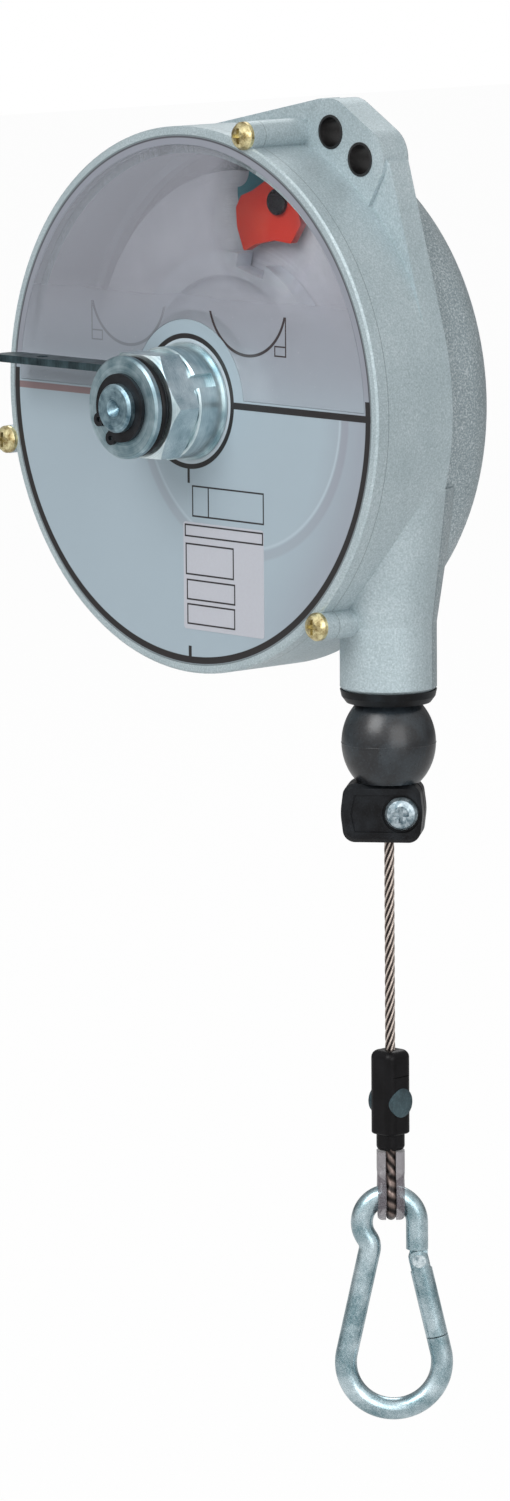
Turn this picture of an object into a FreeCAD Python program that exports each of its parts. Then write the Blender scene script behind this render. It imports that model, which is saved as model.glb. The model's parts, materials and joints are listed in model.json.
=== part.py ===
"""Spring tool balancer: a cast casing with a sprung drum, a wire rope, a stop clamp and a snap hook.

Every piece is modelled about the drum shaft: X to the right, Y to the back, Z up, with Y = 0 on the
front face of the cover.  One placement then moves the whole part so that the origin is the centre of
the outer suspension bore.  Lengths are millimetres and angles are degrees.
"""
import FreeCAD, Part
import Sketcher
import math
import os

SIZES = [
    # casing
    ("casing_radius", 80.0), ("casing_wall", 4.0), ("edge_ease", 1.2), ("shell_step", 2.5),
    ("back_wall", 3.3), ("back_edge_radius", 13.0), ("corner_fill", 7.0), ("drum_back_gap", 0.5),
    ("back_boss_radius", 17.0), ("back_boss_height", 4.5),
    ("back_rib_width", 3.5), ("back_rib_height", 1.6), ("back_rib_count", 8),
    # suspension lug
    ("lug_angle", 59.0), ("lug_rise", 7.8), ("lug_hole_spacing", 14.3), ("lug_end_radius", 9.6),
    ("lug_front", 21.0), ("lug_thickness", 10.0), ("lug_web_recess", 1.2), ("lug_web_angle", 42.0),
    ("lug_web_drop", 4.4), ("lug_hole_radius", 4.75), ("bush_bore_radius", 4.25), ("bush_lip", 0.2),
    ("bush_lip_height", 0.25),
    # cover, window and cover screws
    ("cover_thickness", 4.5), ("cover_spigot", 2.5), ("spigot_width", 3.0), ("window_thickness", 3.0),
    ("window_rim", 5.4), ("window_inner_radius", 24.0), ("window_base", 1.6),
    ("window_ledge", 2.5), ("screw_outset", 2.3), ("screw_start_angle", 72.0), ("screw_count", 3),
    ("screw_thread_radius", 2.0), ("screw_head_radius", 4.1), ("screw_head_height", 2.8),
    ("screw_length", 11.0), ("screw_slot_width", 1.1), ("screw_slot_depth", 1.4),
    ("boss_radius", 4.2), ("boss_length", 13.0),
    # shaft, bushes and hub stack
    ("shaft_radius", 7.5), ("nose_radius", 7.1), ("nose_tail", 2.35), ("running_clearance", 0.05),
    ("bronze_wall", 2.5), ("front_bush_length", 13.0), ("hub_gap", 0.25),
    ("hub_washer_thickness", 2.8), ("hub_washer_radius", 17.3), ("hub_washer_flange", 0.65),
    ("collar_length", 7.0), ("collar_radius", 16.5), ("ratchet_slots", 3), ("slot_depth", 1.8),
    ("slot_width", 4.2),
    ("nut_flats", 30.0), ("nut_length", 9.6), ("nut_chamfer", 30.0), ("neck_radius", 11.2),
    ("o_ring_section", 1.7), ("end_washer_radius", 15.0), ("end_washer_thickness", 2.5),
    ("circlip_radius", 10.0), ("circlip_thickness", 1.2), ("circlip_groove", 0.7), ("circlip_turn", 225.0),
    ("circlip_gap", 3.2), ("circlip_eye_radius", 2.0), ("circlip_eye_hole", 0.8),
    ("centre_drill_radius", 2.6), ("rear_washer_radius", 13.0), ("rear_washer_thickness", 1.2),
    ("shaft_tail", 1.6),
    # release lever
    ("lever_height", 9.1), ("lever_thickness", 2.2), ("lever_width", 9.6), ("lever_front", -13.9),
    ("lever_inset", 8.5), ("lever_tip_ease", 4.0), ("lever_nose_gap", 0.35),
    ("lever_pivot_out", 4.1), ("lever_pivot_z", 1.4),
    ("lever_eye_radius", 2.8), ("lever_stud_radius", 1.5), ("lever_hole_x", -54.0),
    ("lever_hole_radius", 1.8), ("stud_head_height", 1.4), ("spring_wire", 0.45),
    # drum
    ("drum_front", 22.0), ("flange_rise", 10.76), ("flange_thickness", 2.4), ("rope_pitch", 3.05),
    ("rope_turns", 7), ("rear_flange_rise", 6.76), ("rear_flange_thickness", 1.5), ("barrel_end_gap", 0.4),
    ("barrel_wall", 4.2), ("drum_web", 2.6), ("spring_cover_thickness", 2.0), ("fit_gap", 0.1),
    ("spring_screw_radius", 1.25), ("spring_screw_head", 2.2), ("spring_screw_length", 7.0),
    ("spring_screw_count", 6), ("spring_screw_sink", 1.2), ("spring_cover_inset", 3.0), ("hub_wall", 4.0),
    ("bearing_lip", 1.5),
    # bearings
    ("bearing_outer_radius", 14.0), ("bearing_width", 7.0), ("ring_thickness", 1.9),
    ("ball_count", 11),
    # power spring
    ("arbor_radius", 11.5), ("strip_thickness", 1.0), ("strip_turns", 11), ("strip_end_gap", 0.8),
    ("strip_side_gap", 0.5),
    # stop disc and safety pawl
    ("stop_inset", 18.91), ("stop_rim_width", 7.0), ("stop_rim_depth", 6.0), ("stop_drum_gap", 0.5),
    ("stop_web", 3.0), ("stop_hub_radius", 14.5), ("notch_angle", 75.0), ("notch_width", 12.0),
    ("notch_depth", 4.5), ("rivet_circle", 12.6), ("rivet_radius", 1.3), ("rivet_count", 3),
    ("rivet_depth", 4.0),
    ("pawl_inset", 4.29), ("pawl_angle", 70.3), ("pawl_pin_radius", 2.2), ("pawl_head_radius", 3.8),
    ("pawl_rest_turn", 16.0), ("pawl_thickness", 2.4), ("pawl_gap", 0.25), ("plate_thickness", 2.0),
    ("plate_radius", 11.5), ("plate_shift", 9.0), ("plate_rise", 2.0), ("plate_bite_radius", 5.0),
    # rope and outlet
    ("rope_radius", 1.5), ("rope_inset", 23.16), ("outlet_radius", 14.1),
    ("outlet_inset", 3.16), ("outlet_drop", 1.6), ("outlet_straight", 19.6),
    ("outlet_bore", 10.9), ("outlet_bush_flange", 3.8), ("outlet_bush_ease", 1.8),
    ("outlet_bush_length", 11.0), ("outlet_rope_hole", 2.1), ("outlet_mouth", 4.0),
    # rubber buffer and stop clamp
    ("ball_gap", 0.3), ("buffer_radius", 13.75), ("buffer_rise", 15.54), ("buffer_height", 23.1),
    ("buffer_hole", 1.8),
    ("clamp_left", 13.6), ("clamp_right", 10.5), ("clamp_depth", 14.0), ("clamp_height", 17.2),
    ("clamp_bulge", 1.1), ("clamp_corner", 3.6), ("clamp_side_radius", 16.0), ("clamp_ease", 1.2),
    ("clamp_rim", 1.9), ("clamp_pocket", 0.6), ("clamp_recess", 1.5), ("clamp_recess_radius", 5.6),
    ("clamp_split", 1.0), ("clamp_turn", 40.0), ("clamp_screw_x", 4.3), ("clamp_screw_radius", 2.5),
    ("clamp_head_radius", 4.8), ("clamp_head_height", 2.6), ("clamp_mouth_radius", 3.4),
    ("clamp_mouth_depth", 2.4), ("clamp_nut_flats", 8.0), ("clamp_nut_thickness", 3.2),
    # free rope, end clip, rope eye
    ("drop_length", 62.2), ("clip_width", 9.4), ("clip_thickness", 9.4), ("clip_height", 30.1),
    ("clip_corner", 2.6), ("clip_top_ease", 2.4), ("clip_tail_ease", 1.6), ("clip_block_height", 25.0),
    ("clip_tail_narrow", 1.0), ("clip_tail_thin", 1.0), ("clip_step_ease", 0.7), ("clip_seam_drop", 7.4), ("clip_seam", 0.4),
    ("clip_turn", -88.0), ("clip_cavity_width", 5.8), ("clip_cavity_depth", 5.8), ("clip_grip", 4.0),
    ("clip_rivet_radius", 4.3), ("clip_rivet_height", 0.25), ("clip_rivet_depth", 1.2), ("clip_rivet_drop", 15.4),
    ("eye_turn", -42.0), ("eye_bore_radius", 3.8), ("sleeve_radius", 4.1), ("sleeve_floor", 0.7), ("sleeve_ease", 1.6), ("eye_leg_spread", 1.55),
    ("eye_bend_radius", 4.0), ("eye_drop", 43.4), ("eye_seat_gap", 0.35), ("ferrule_drop", 1.5),
    # snap hook
    ("hook_turn", 48.0), ("hook_wire", 3.25), ("hook_small_radius", 8.1),
    ("hook_small_shift", -0.45), ("hook_big_radius", 14.15), ("hook_big_shift", 0.7), ("hook_length", 70.8),
    ("hook_kink_angle", 215.6), ("hook_kink_radius", 4.5), ("hook_joint_drop", 8.0),
    ("gate_pin_x", 8.1), ("gate_pin_drop", 11.1), ("gate_length", 23.4), ("gate_gap", 0.35),
    ("gate_tongue", 2.3), ("gate_slot", 2.9), ("gate_pin_radius", 1.1), ("gate_pin_head", 2.0),
    ("gate_pin_head_height", 0.4),
]

doc = FreeCAD.newDocument("ToolBalancer")
sheet = doc.addObject("Spreadsheet::Sheet", "Sizes")


class Dim:
    """A size that carries both its number and the sheet expression that gives it."""

    def __init__(self, value, text):
        self.value = float(value)
        self.text = text

    @staticmethod
    def of(other):
        return other if isinstance(other, Dim) else Dim(other, repr(float(other)))

    def _join(self, other, sign, value):
        return Dim(value, f"({self.text} {sign} {Dim.of(other).text})")

    def __add__(self, other):
        return self._join(other, "+", self.value + Dim.of(other).value)

    def __sub__(self, other):
        return self._join(other, "-", self.value - Dim.of(other).value)

    def __mul__(self, other):
        return self._join(other, "*", self.value * Dim.of(other).value)

    def __truediv__(self, other):
        return self._join(other, "/", self.value / Dim.of(other).value)

    def __neg__(self):
        return Dim(-self.value, f"(0 - {self.text})")

    def __radd__(self, other):
        return Dim.of(other) + self

    def __rsub__(self, other):
        return Dim.of(other) - self

    def __rmul__(self, other):
        return Dim.of(other) * self


def cosd(angle):
    angle = Dim.of(angle)
    return Dim(math.cos(math.radians(angle.value)), f"cos({angle.text})")


def sind(angle):
    angle = Dim.of(angle)
    return Dim(math.sin(math.radians(angle.value)), f"sin({angle.text})")


def root(value):
    value = Dim.of(value)
    return Dim(math.sqrt(value.value), f"sqrt({value.text})")


class Sizes:
    """The driving sizes, each under its alias."""


S = Sizes()
for row, (alias, size) in enumerate(SIZES, start=1):
    sheet.set(f"A{row}", alias)
    sheet.set(f"B{row}", str(size))
    sheet.setAlias(f"B{row}", alias)
    setattr(S, alias, Dim(size, f"Sizes.{alias}"))
doc.recompute()


# ---------------------------------------------------------------------------------------------------
# sizes that follow from the driving ones
# ---------------------------------------------------------------------------------------------------
casing_bore = S.casing_radius - S.casing_wall
rear_shell_radius = S.casing_radius - S.shell_step
rear_bore = rear_shell_radius - S.casing_wall
lug_back = S.lug_front + S.lug_thickness
lug_radius = S.casing_radius + S.lug_rise
half_holes = S.lug_hole_spacing / 2
screw_circle = S.casing_radius + S.screw_outset
window_outer_radius = S.casing_radius - S.window_rim
origin_x = lug_radius * cosd(S.lug_angle) + half_holes * sind(S.lug_angle)
origin_z = lug_radius * sind(S.lug_angle) - half_holes * cosd(S.lug_angle)
origin_y = S.lug_front + S.lug_thickness / 2
rope_x = S.casing_radius - S.rope_inset
barrel_radius = rope_x - S.rope_radius - S.fit_gap
barrel_bore = barrel_radius - S.barrel_wall
flange_radius = barrel_radius + S.flange_rise
rear_flange_radius = barrel_radius + S.rear_flange_rise
flange_back = S.drum_front + S.flange_thickness
rope_y = flange_back + S.rope_radius + S.fit_gap
barrel_end = rope_y + (S.rope_turns - 1) * S.rope_pitch + S.rope_radius + S.barrel_end_gap
drum_end = barrel_end + S.rear_flange_thickness
cover_end = drum_end + S.spring_cover_thickness
back_face = cover_end + S.drum_back_gap
casing_depth = back_face + S.back_wall
boss_face = casing_depth + S.back_boss_height
cover_back = S.cover_thickness
bush_radius = S.shaft_radius + S.running_clearance + S.bronze_wall
strip_front = S.drum_front + S.bearing_width + S.bearing_lip + S.strip_side_gap
strip_back = cover_end - S.bearing_width - S.bearing_lip - S.strip_side_gap
pawl_circle = flange_radius - S.pawl_inset
stop_radius = pawl_circle - S.stop_inset
stop_rim_back = S.drum_front - S.stop_drum_gap
stop_rim_front = stop_rim_back - S.stop_rim_depth
pawl_back = S.drum_front - S.plate_thickness - S.pawl_gap
pawl_front = pawl_back - S.pawl_thickness
nut_corner = S.nut_flats / 2 / cosd(30)
collar_front = -S.hub_gap - S.hub_washer_thickness
nut_back = collar_front - S.collar_length
nut_front = nut_back - S.nut_length
neck_front = nut_front - 2 * S.o_ring_section - 0.2
washer_front = neck_front - S.end_washer_thickness
circlip_front = washer_front - S.circlip_thickness
nose_end = circlip_front - S.nose_tail
lever_pivot_x = -S.collar_radius - S.lever_pivot_out
lever_tip = S.casing_radius - S.lever_inset
outlet_flare = S.rope_inset - S.outlet_inset
outlet_bottom = -S.casing_radius - S.outlet_drop
outlet_flare_start = outlet_bottom + S.outlet_straight
outlet_top = -root(S.casing_radius * S.casing_radius - (rope_x + outlet_flare) * (rope_x + outlet_flare))
outlet_bore_top = -root(casing_bore * casing_bore - (rope_x + S.outlet_bore) * (rope_x + S.outlet_bore))
bush_bottom = outlet_bottom - S.outlet_bush_flange
buffer_top = bush_bottom - S.ball_gap
clamp_top = buffer_top - S.buffer_height
clamp_bottom = clamp_top - S.clamp_height
hinge_z = clamp_bottom + 1.0
clip_top = clamp_bottom - S.drop_length
clip_bottom = clip_top - S.clip_height
eye_z = clip_top - S.eye_drop
swing_z = eye_z - S.eye_bore_radius + S.eye_seat_gap + S.hook_wire
hook_top = swing_z + S.hook_wire
small_z = swing_z - S.hook_small_radius
big_z = hook_top - S.hook_length + S.hook_wire + S.hook_big_radius
pin_z = small_z - S.gate_pin_drop


def number(dim):
    return Dim.of(dim).value


# ---------------------------------------------------------------------------------------------------
# building pieces
# ---------------------------------------------------------------------------------------------------
NODES = []
PLANES = {"XY": "XY_Plane", "XZ": "XZ_Plane", "YZ": "YZ_Plane"}
RHO = "rho"


def bind(target, path, dim):
    """Tie one property of an object to the sheet."""
    target.setExpression(path, Dim.of(dim).text)


def place(target, x=0, y=0, z=0, turn_axis=None, turn=0):
    """Put an object given about the shaft into the part's own frame, turned about one axis."""
    if turn_axis is not None:
        target.Placement.Rotation = FreeCAD.Rotation(FreeCAD.Vector(*turn_axis), number(turn))
        target.setExpression("Placement.Rotation.Angle", f"({Dim.of(turn).text}) * 1 deg")
    bind(target, "Placement.Base.x", Dim.of(x) - origin_x)
    bind(target, "Placement.Base.y", Dim.of(y) - origin_y)
    bind(target, "Placement.Base.z", Dim.of(z) - origin_z)


def keep(target, label):
    """Name a finished object and put it on the list of nodes."""
    target.Label = label
    NODES.append(target)
    return target


class Piece:
    """A PartDesign body built from fully dimensioned sketches."""

    def __init__(self, label, x=0, y=0, z=0, turn_axis=None, turn=0, listed=True):
        self.body = doc.addObject("PartDesign::Body", label)
        self.body.Label = label
        place(self.body, x, y, z, turn_axis, turn)
        self.count = 0
        if listed:
            NODES.append(self.body)

    def origin_feature(self, role):
        return next(f for f in self.body.Origin.OriginFeatures if f.Role == role)

    def _new(self, kind, name):
        self.count += 1
        return self.body.newObject(kind, f"{self.body.Name}_{name}{self.count}")

    def sketch(self, plane, offset, outlines, shift=0):
        """A sketch on an origin plane, moved along its normal, with closed outlines.

        An outline is a list of (across, up) points, or (across, up, RHO, radius) for a circle.
        """
        drawing = self._new("Sketcher::SketchObject", "Sketch")
        drawing.AttachmentSupport = [(self.origin_feature(PLANES[plane]), "")]
        drawing.MapMode = "FlatFace"
        bind(drawing, "AttachmentOffset.Base.z", offset)
        bind(drawing, "AttachmentOffset.Base.x", shift)
        for outline in outlines:
            if len(outline) == 4 and outline[2] == RHO:
                self._circle(drawing, *outline)
            else:
                self._polygon(drawing, outline)
        return drawing

    @staticmethod
    def _pin(drawing, geometry, vertex, across, up):
        """Hold one point of a sketch at its two distances from the sketch's origin."""
        for axis, dim in (("X", across), ("Y", up)):
            dim = Dim.of(dim)
            index = drawing.addConstraint(
                Sketcher.Constraint(f"Distance{axis}", -1, 1, geometry, vertex, dim.value))
            if "Sizes" in dim.text:
                drawing.setExpression(f"Constraints[{index}]", dim.text)

    def _circle(self, drawing, across, up, _, radius):
        centre = FreeCAD.Vector(number(across), number(up), 0)
        geometry = drawing.addGeometry(Part.Circle(centre, FreeCAD.Vector(0, 0, 1), number(radius)))
        self._pin(drawing, geometry, 3, across, up)
        index = drawing.addConstraint(Sketcher.Constraint("Radius", geometry, number(radius)))
        drawing.setExpression(f"Constraints[{index}]", Dim.of(radius).text)

    def _polygon(self, drawing, outline):
        points = [FreeCAD.Vector(number(a), number(b), 0) for a, b in outline]
        lines = [drawing.addGeometry(Part.LineSegment(p, q))
                 for p, q in zip(points, points[1:] + points[:1])]
        for line, after in zip(lines, lines[1:] + lines[:1]):
            drawing.addConstraint(Sketcher.Constraint("Coincident", line, 2, after, 1))
        for line, (across, up) in zip(lines, outline):
            self._pin(drawing, line, 1, across, up)

    def _finish(self, feature, cut):
        before = self.volume
        self.body.Tip = feature
        doc.recompute()
        self.volume = self.body.Shape.Volume
        if cut and self.volume > before - 1e-3:
            raise RuntimeError(f"{feature.Name} removed nothing")
        if not cut and self.volume < before + 1e-3:
            raise RuntimeError(f"{feature.Name} added nothing")
        return feature

    volume = 0.0

    def revolve(self, *outlines, plane="XY", offset=0, shift=0, cut=False):
        """Turn outlines about the sketch's upright axis: Y for plane XY, Z for plane XZ."""
        drawing = self.sketch(plane, offset, outlines, shift)
        feature = self._new("PartDesign::Groove" if cut else "PartDesign::Revolution", "Turned")
        feature.Profile = drawing
        feature.ReferenceAxis = (drawing, ["V_Axis"])
        feature.Angle = 360
        return self._finish(feature, cut)

    def extrude(self, start, end, *outlines, plane="XZ", cut=False):
        """Pad or pocket outlines between two heights along the plane's own axis."""
        along = -1 if plane == "XZ" else 1
        base = (end if cut else start) if along == 1 else (start if cut else end)
        drawing = self.sketch(plane, Dim.of(base) * along, outlines)
        feature = self._new("PartDesign::Pocket" if cut else "PartDesign::Pad", "Extruded")
        feature.Profile = drawing
        bind(feature, "Length", Dim.of(end) - start)
        return self._finish(feature, cut)

    def around(self, feature, count, axis="Y_Axis", cut=False):
        """Repeat one feature evenly about an axis of the body."""
        pattern = self._new("PartDesign::PolarPattern", "Around")
        pattern.Originals = [feature]
        pattern.Axis = (self.origin_feature(axis), [""])
        pattern.Angle = 360
        bind(pattern, "Occurrences", count)
        return self._finish(pattern, cut)

    def dress(self, kind, size, chosen):
        """Fillet or chamfer the edges that a test picks."""
        tip = self.body.Tip
        names = [f"Edge{i}" for i, edge in enumerate(tip.Shape.Edges, start=1) if chosen(edge)]
        if not names:
            raise RuntimeError(f"{self.body.Label} has no such edge")
        feature = self._new(f"PartDesign::{kind}", kind)
        feature.Base = (tip, names)
        bind(feature, "Radius" if kind == "Fillet" else "Size", size)
        return self._finish(feature, True)


def group(label, members):
    """Several separate solids that share one node."""
    joined = doc.addObject("Part::Compound", label)
    joined.Links = members
    return keep(joined, label)


def solid(label, shape, x=0, y=0, z=0, turn=0):
    """A piece whose shape is worked out here, turned about Z and put in the part's frame."""
    item = doc.addObject("Part::Feature", label)
    item.Shape = shape
    place(item, x, y, z, (0, 0, 1), turn)
    return keep(item, label)


def circle_edge(radius, y=None, tolerance=0.02):
    """A test for a round edge of one radius about the shaft, at one depth."""
    def chosen(edge):
        curve = edge.Curve
        if not isinstance(curve, Part.Circle) or abs(curve.Radius - number(radius)) > tolerance:
            return False
        return y is None or abs(curve.Center.y - number(y)) < tolerance
    return chosen


def rectangle(x0, x1, y0, y1):
    return [(x0, y0), (x1, y0), (x1, y1), (x0, y1)]


def ring(inner, outer, start, end):
    """The half section of a ring about the upright axis."""
    return rectangle(inner, outer, start, end)


def at_angle(radius, angle):
    return radius * cosd(angle), radius * sind(angle)


def evenly(count, start=0):
    """The angles of evenly spaced copies."""
    copies = int(number(count))
    return [Dim.of(start) + 360.0 / copies * index for index in range(copies)]


def spread(direction, along, across):
    """A point given along and across a direction in the plane of the drum."""
    cosine, sine = direction
    return along * cosine - across * sine, along * sine + across * cosine


# ---------------------------------------------------------------------------------------------------
# casing, lug, cover and window
# ---------------------------------------------------------------------------------------------------
LUG = (cosd(S.lug_angle), sind(S.lug_angle))


def make_casing():
    piece = Piece("casing")
    r, ease = S.casing_radius, S.edge_ease
    piece.revolve([(0, cover_back), (r, cover_back), (r, lug_back - ease),
                   (r - ease, lug_back), (rear_shell_radius, lug_back),
                   (rear_shell_radius, casing_depth), (S.back_boss_radius, casing_depth),
                   (S.back_boss_radius, boss_face), (0, boss_face)])
    piece.dress("Fillet", S.back_edge_radius, circle_edge(rear_shell_radius, casing_depth))
    # suspension lug: thin webs that run into the casing, and a thicker pad round the two holes
    side = half_holes + S.lug_end_radius
    web_x, web_z = r * sind(S.lug_web_angle), r * cosd(S.lug_web_angle)
    web_top = lug_radius + S.lug_end_radius - S.lug_web_drop
    piece.extrude(S.lug_front + S.lug_web_recess, lug_back - S.lug_web_recess,
                  [spread(LUG, web_z, -web_x), spread(LUG, web_top, -side),
                   spread(LUG, web_top, side), spread(LUG, web_z, web_x)])
    foot = S.casing_radius - S.casing_wall
    for half, low, high in ((side, foot, lug_radius),
                            (half_holes, foot, lug_radius + S.lug_end_radius)):
        piece.extrude(S.lug_front, lug_back, [spread(LUG, low, -half), spread(LUG, high, -half),
                                              spread(LUG, high, half), spread(LUG, low, half)])
    holes = [spread(LUG, lug_radius, half) for half in (half_holes, -half_holes)]
    for x, z in holes:
        piece.extrude(S.lug_front, lug_back, (x, z, RHO, S.lug_end_radius))
    # bosses for the cover screws; the upper one runs on to the lug
    x, z = at_angle(screw_circle, S.screw_start_angle)
    boss = piece.extrude(cover_back, S.boss_length, (x, z, RHO, S.boss_radius))
    piece.around(boss, S.screw_count)
    piece.extrude(S.boss_length, S.lug_front + S.lug_web_recess + 1, (x, z, RHO, S.boss_radius))
    # rope outlet
    piece.revolve([(0, outlet_bottom), (S.outlet_radius - 0.8, outlet_bottom),
                   (S.outlet_radius, outlet_bottom + 0.8), (S.outlet_radius, outlet_flare_start),
                   (outlet_flare, outlet_top), (0, outlet_top)],
                  plane="XZ", offset=-rope_y, shift=rope_x)
    # ribs on the back
    rib = piece.extrude(casing_depth - 1, casing_depth + S.back_rib_height,
                        rectangle(S.back_boss_radius - 1, rear_shell_radius - S.back_edge_radius,
                                  -S.back_rib_width / 2, S.back_rib_width / 2))
    piece.around(rib, S.back_rib_count)
    # hollows
    step = lug_back - S.casing_wall
    ease = S.back_edge_radius - S.corner_fill
    piece.revolve([(0, cover_back - 1), (casing_bore, cover_back - 1), (casing_bore, step),
                   (rear_bore, step), (rear_bore, back_face - ease), (rear_bore - ease, back_face),
                   (0, back_face)], cut=True)
    piece.revolve(rectangle(0, bush_radius, back_face - 1, boss_face + 1), cut=True)
    piece.revolve(rectangle(0, S.outlet_bore, outlet_bottom - 1, outlet_bore_top),
                  plane="XZ", offset=-rope_y, shift=rope_x, cut=True)
    for x, z in holes:
        piece.extrude(S.lug_front - 1, lug_back + 1, (x, z, RHO, S.lug_hole_radius), cut=True)
    x, z = at_angle(screw_circle, S.screw_start_angle)
    thread = piece.extrude(cover_back - 1, S.screw_length + 1, (x, z, RHO, S.screw_thread_radius), cut=True)
    piece.around(thread, S.screw_count, cut=True)


def half_ring(label, inner, outer, start, end, base):
    """The part of a flat ring that lies above a level line."""
    piece = Piece(label, listed=False)
    piece.revolve(ring(inner, outer, start, end))
    piece.extrude(start - 1, end + 1, rectangle(-outer - 1, outer + 1, -outer - 1, base), cut=True)
    return piece.body


def make_cover():
    piece = Piece("cover_plate", listed=False)
    r, ease = S.casing_radius, S.edge_ease / 2
    spigot = casing_bore - S.fit_gap
    piece.revolve([(bush_radius, 0), (r - ease, 0), (r, ease), (r, cover_back), (spigot, cover_back),
                   (spigot, cover_back + S.cover_spigot),
                   (spigot - S.spigot_width, cover_back + S.cover_spigot),
                   (spigot - S.spigot_width, cover_back), (bush_radius, cover_back)])
    x, z = at_angle(screw_circle, S.screw_start_angle)
    ear = piece.extrude(0, cover_back, (x, z, RHO, S.boss_radius))
    piece.around(ear, S.screw_count)
    hole = piece.extrude(-1, cover_back + 1, (x, z, RHO, S.screw_thread_radius), cut=True)
    piece.around(hole, S.screw_count, cut=True)
    piece.extrude(-1, cover_back - 1, (lever_pivot_x, S.lever_pivot_z, RHO, S.lever_stud_radius), cut=True)
    x, z = at_angle(S.rivet_circle, 90)
    rivet = piece.extrude(-1, cover_back + 1, (x, z, RHO, S.rivet_radius), cut=True)
    piece.around(rivet, S.rivet_count, cut=True)
    seat = half_ring("window_seat", S.window_inner_radius - S.fit_gap, window_outer_radius + S.fit_gap,
                     -1, S.window_thickness, S.window_base)
    light = half_ring("window_light", S.window_inner_radius + S.window_ledge,
                      window_outer_radius - S.window_ledge, -1, cover_back + S.cover_spigot + 1,
                      S.window_base + S.window_ledge)
    shape = piece.body
    for name, tool in (("cover_seat", seat), ("front_cover", light)):
        cut = doc.addObject("Part::Cut", name)
        cut.Base, cut.Tool = shape, tool
        shape = cut
    keep(shape, "front_cover")
    window = half_ring("sight_window", S.window_inner_radius, window_outer_radius, 0,
                       S.window_thickness, S.window_base + S.fit_gap)
    keep(window, "sight_window")


def cross(arm, width):
    """The outline of a cross recess."""
    return [(width, arm), (-width, arm), (-width, width), (-arm, width), (-arm, -width),
            (-width, -width), (-width, -arm), (width, -arm), (width, -width), (arm, -width),
            (arm, width), (width, width)]


def make_cover_screws():
    screws = []
    for index, angle in enumerate(evenly(S.screw_count, S.screw_start_angle), start=1):
        x, z = at_angle(screw_circle, angle)
        piece = Piece(f"cover_screw_{index}", x, 0, z, listed=False)
        head, rise = S.screw_head_radius, S.screw_head_height
        piece.revolve([(0, -rise), (head * 0.45, -rise), (head * 0.8, -rise * 0.82), (head, -rise * 0.4),
                       (head, 0), (S.screw_thread_radius, 0), (S.screw_thread_radius, S.screw_length),
                       (0, S.screw_length)])
        piece.extrude(-rise - 1, -rise + S.screw_slot_depth, cross(head * 0.55, S.screw_slot_width / 2),
                      cut=True)
        screws.append(piece.body)
    group("cover_screws", screws)


def make_lug_bushes():
    bushes = []
    for index, half in enumerate((half_holes, -half_holes), start=1):
        x, z = spread(LUG, lug_radius, -half)
        piece = Piece(f"lug_bush_{index}", x, 0, z, listed=False)
        wide, low, high = S.lug_hole_radius + S.bush_lip, S.lug_front, lug_back
        piece.revolve([(S.bush_bore_radius, low - S.bush_lip_height), (wide, low - S.bush_lip_height),
                       (wide, low), (S.lug_hole_radius, low), (S.lug_hole_radius, high), (wide, high),
                       (wide, high + S.bush_lip_height), (S.bush_bore_radius, high + S.bush_lip_height)])
        bushes.append(piece.body)
    group("lug_bushes", bushes)


def make_outlet_bush():
    piece = Piece("outlet_bush", rope_x, rope_y)
    low, top = outlet_bottom, outlet_bottom + S.outlet_bush_length
    hole, mouth = S.outlet_rope_hole, S.outlet_mouth
    ease = S.outlet_bush_ease
    piece.revolve([(mouth, bush_bottom), (S.outlet_radius - ease, bush_bottom),
                   (S.outlet_radius - ease / 4, bush_bottom + ease), (S.outlet_radius, low),
                   (S.outlet_bore, low), (S.outlet_bore, top), (mouth, top), (hole, top - mouth + hole),
                   (hole, bush_bottom + mouth - hole)], plane="XZ")


def make_bushes():
    inner = S.shaft_radius + S.running_clearance
    Piece("front_bush").revolve(ring(inner, bush_radius, 0, S.front_bush_length))
    Piece("rear_bush").revolve(ring(inner, bush_radius, back_face, boss_face))


def make_stop_disc():
    piece = Piece("stop_disc")
    web = stop_rim_back - S.stop_web
    piece.revolve([(bush_radius, cover_back), (S.stop_hub_radius, cover_back), (S.stop_hub_radius, web),
                   (stop_radius - S.stop_rim_width, web),
                   (stop_radius - S.stop_rim_width, stop_rim_front),
                   (stop_radius, stop_rim_front), (stop_radius, stop_rim_back),
                   (bush_radius, stop_rim_back)])
    notch = (cosd(S.notch_angle), sind(S.notch_angle))
    low, high, half = stop_radius - S.notch_depth, stop_radius + 2, S.notch_width / 2
    piece.extrude(stop_rim_front - 1, stop_rim_back + 1,
                  [spread(notch, low, -half), spread(notch, high, -half), spread(notch, high, half),
                   spread(notch, low, half)], cut=True)
    x, z = at_angle(S.rivet_circle, 90)
    hole = piece.extrude(cover_back - 1, cover_back + S.rivet_depth, (x, z, RHO, S.rivet_radius), cut=True)
    piece.around(hole, S.rivet_count, cut=True)
    rivets = []
    for index, angle in enumerate(evenly(S.rivet_count, 90), start=1):
        x, z = at_angle(S.rivet_circle, angle)
        rivet = Piece(f"stop_disc_rivet_{index}", x, 0, z, listed=False)
        rivet.revolve(rectangle(0, S.rivet_radius, 0, cover_back + S.rivet_depth))
        rivets.append(rivet.body)
    group("stop_disc_rivets", rivets)


# ---------------------------------------------------------------------------------------------------
# shaft, hub stack and release lever
# ---------------------------------------------------------------------------------------------------
def torus(label, major, minor, x=0, y=0, z=0, sweep=360):
    """A ring of round section about an axis along Y."""
    item = doc.addObject("Part::Torus", label)
    bind(item, "Radius1", major)
    bind(item, "Radius2", minor)
    item.Angle3 = sweep
    place(item, x, y, z, (1, 0, 0), 90)
    return item


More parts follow.
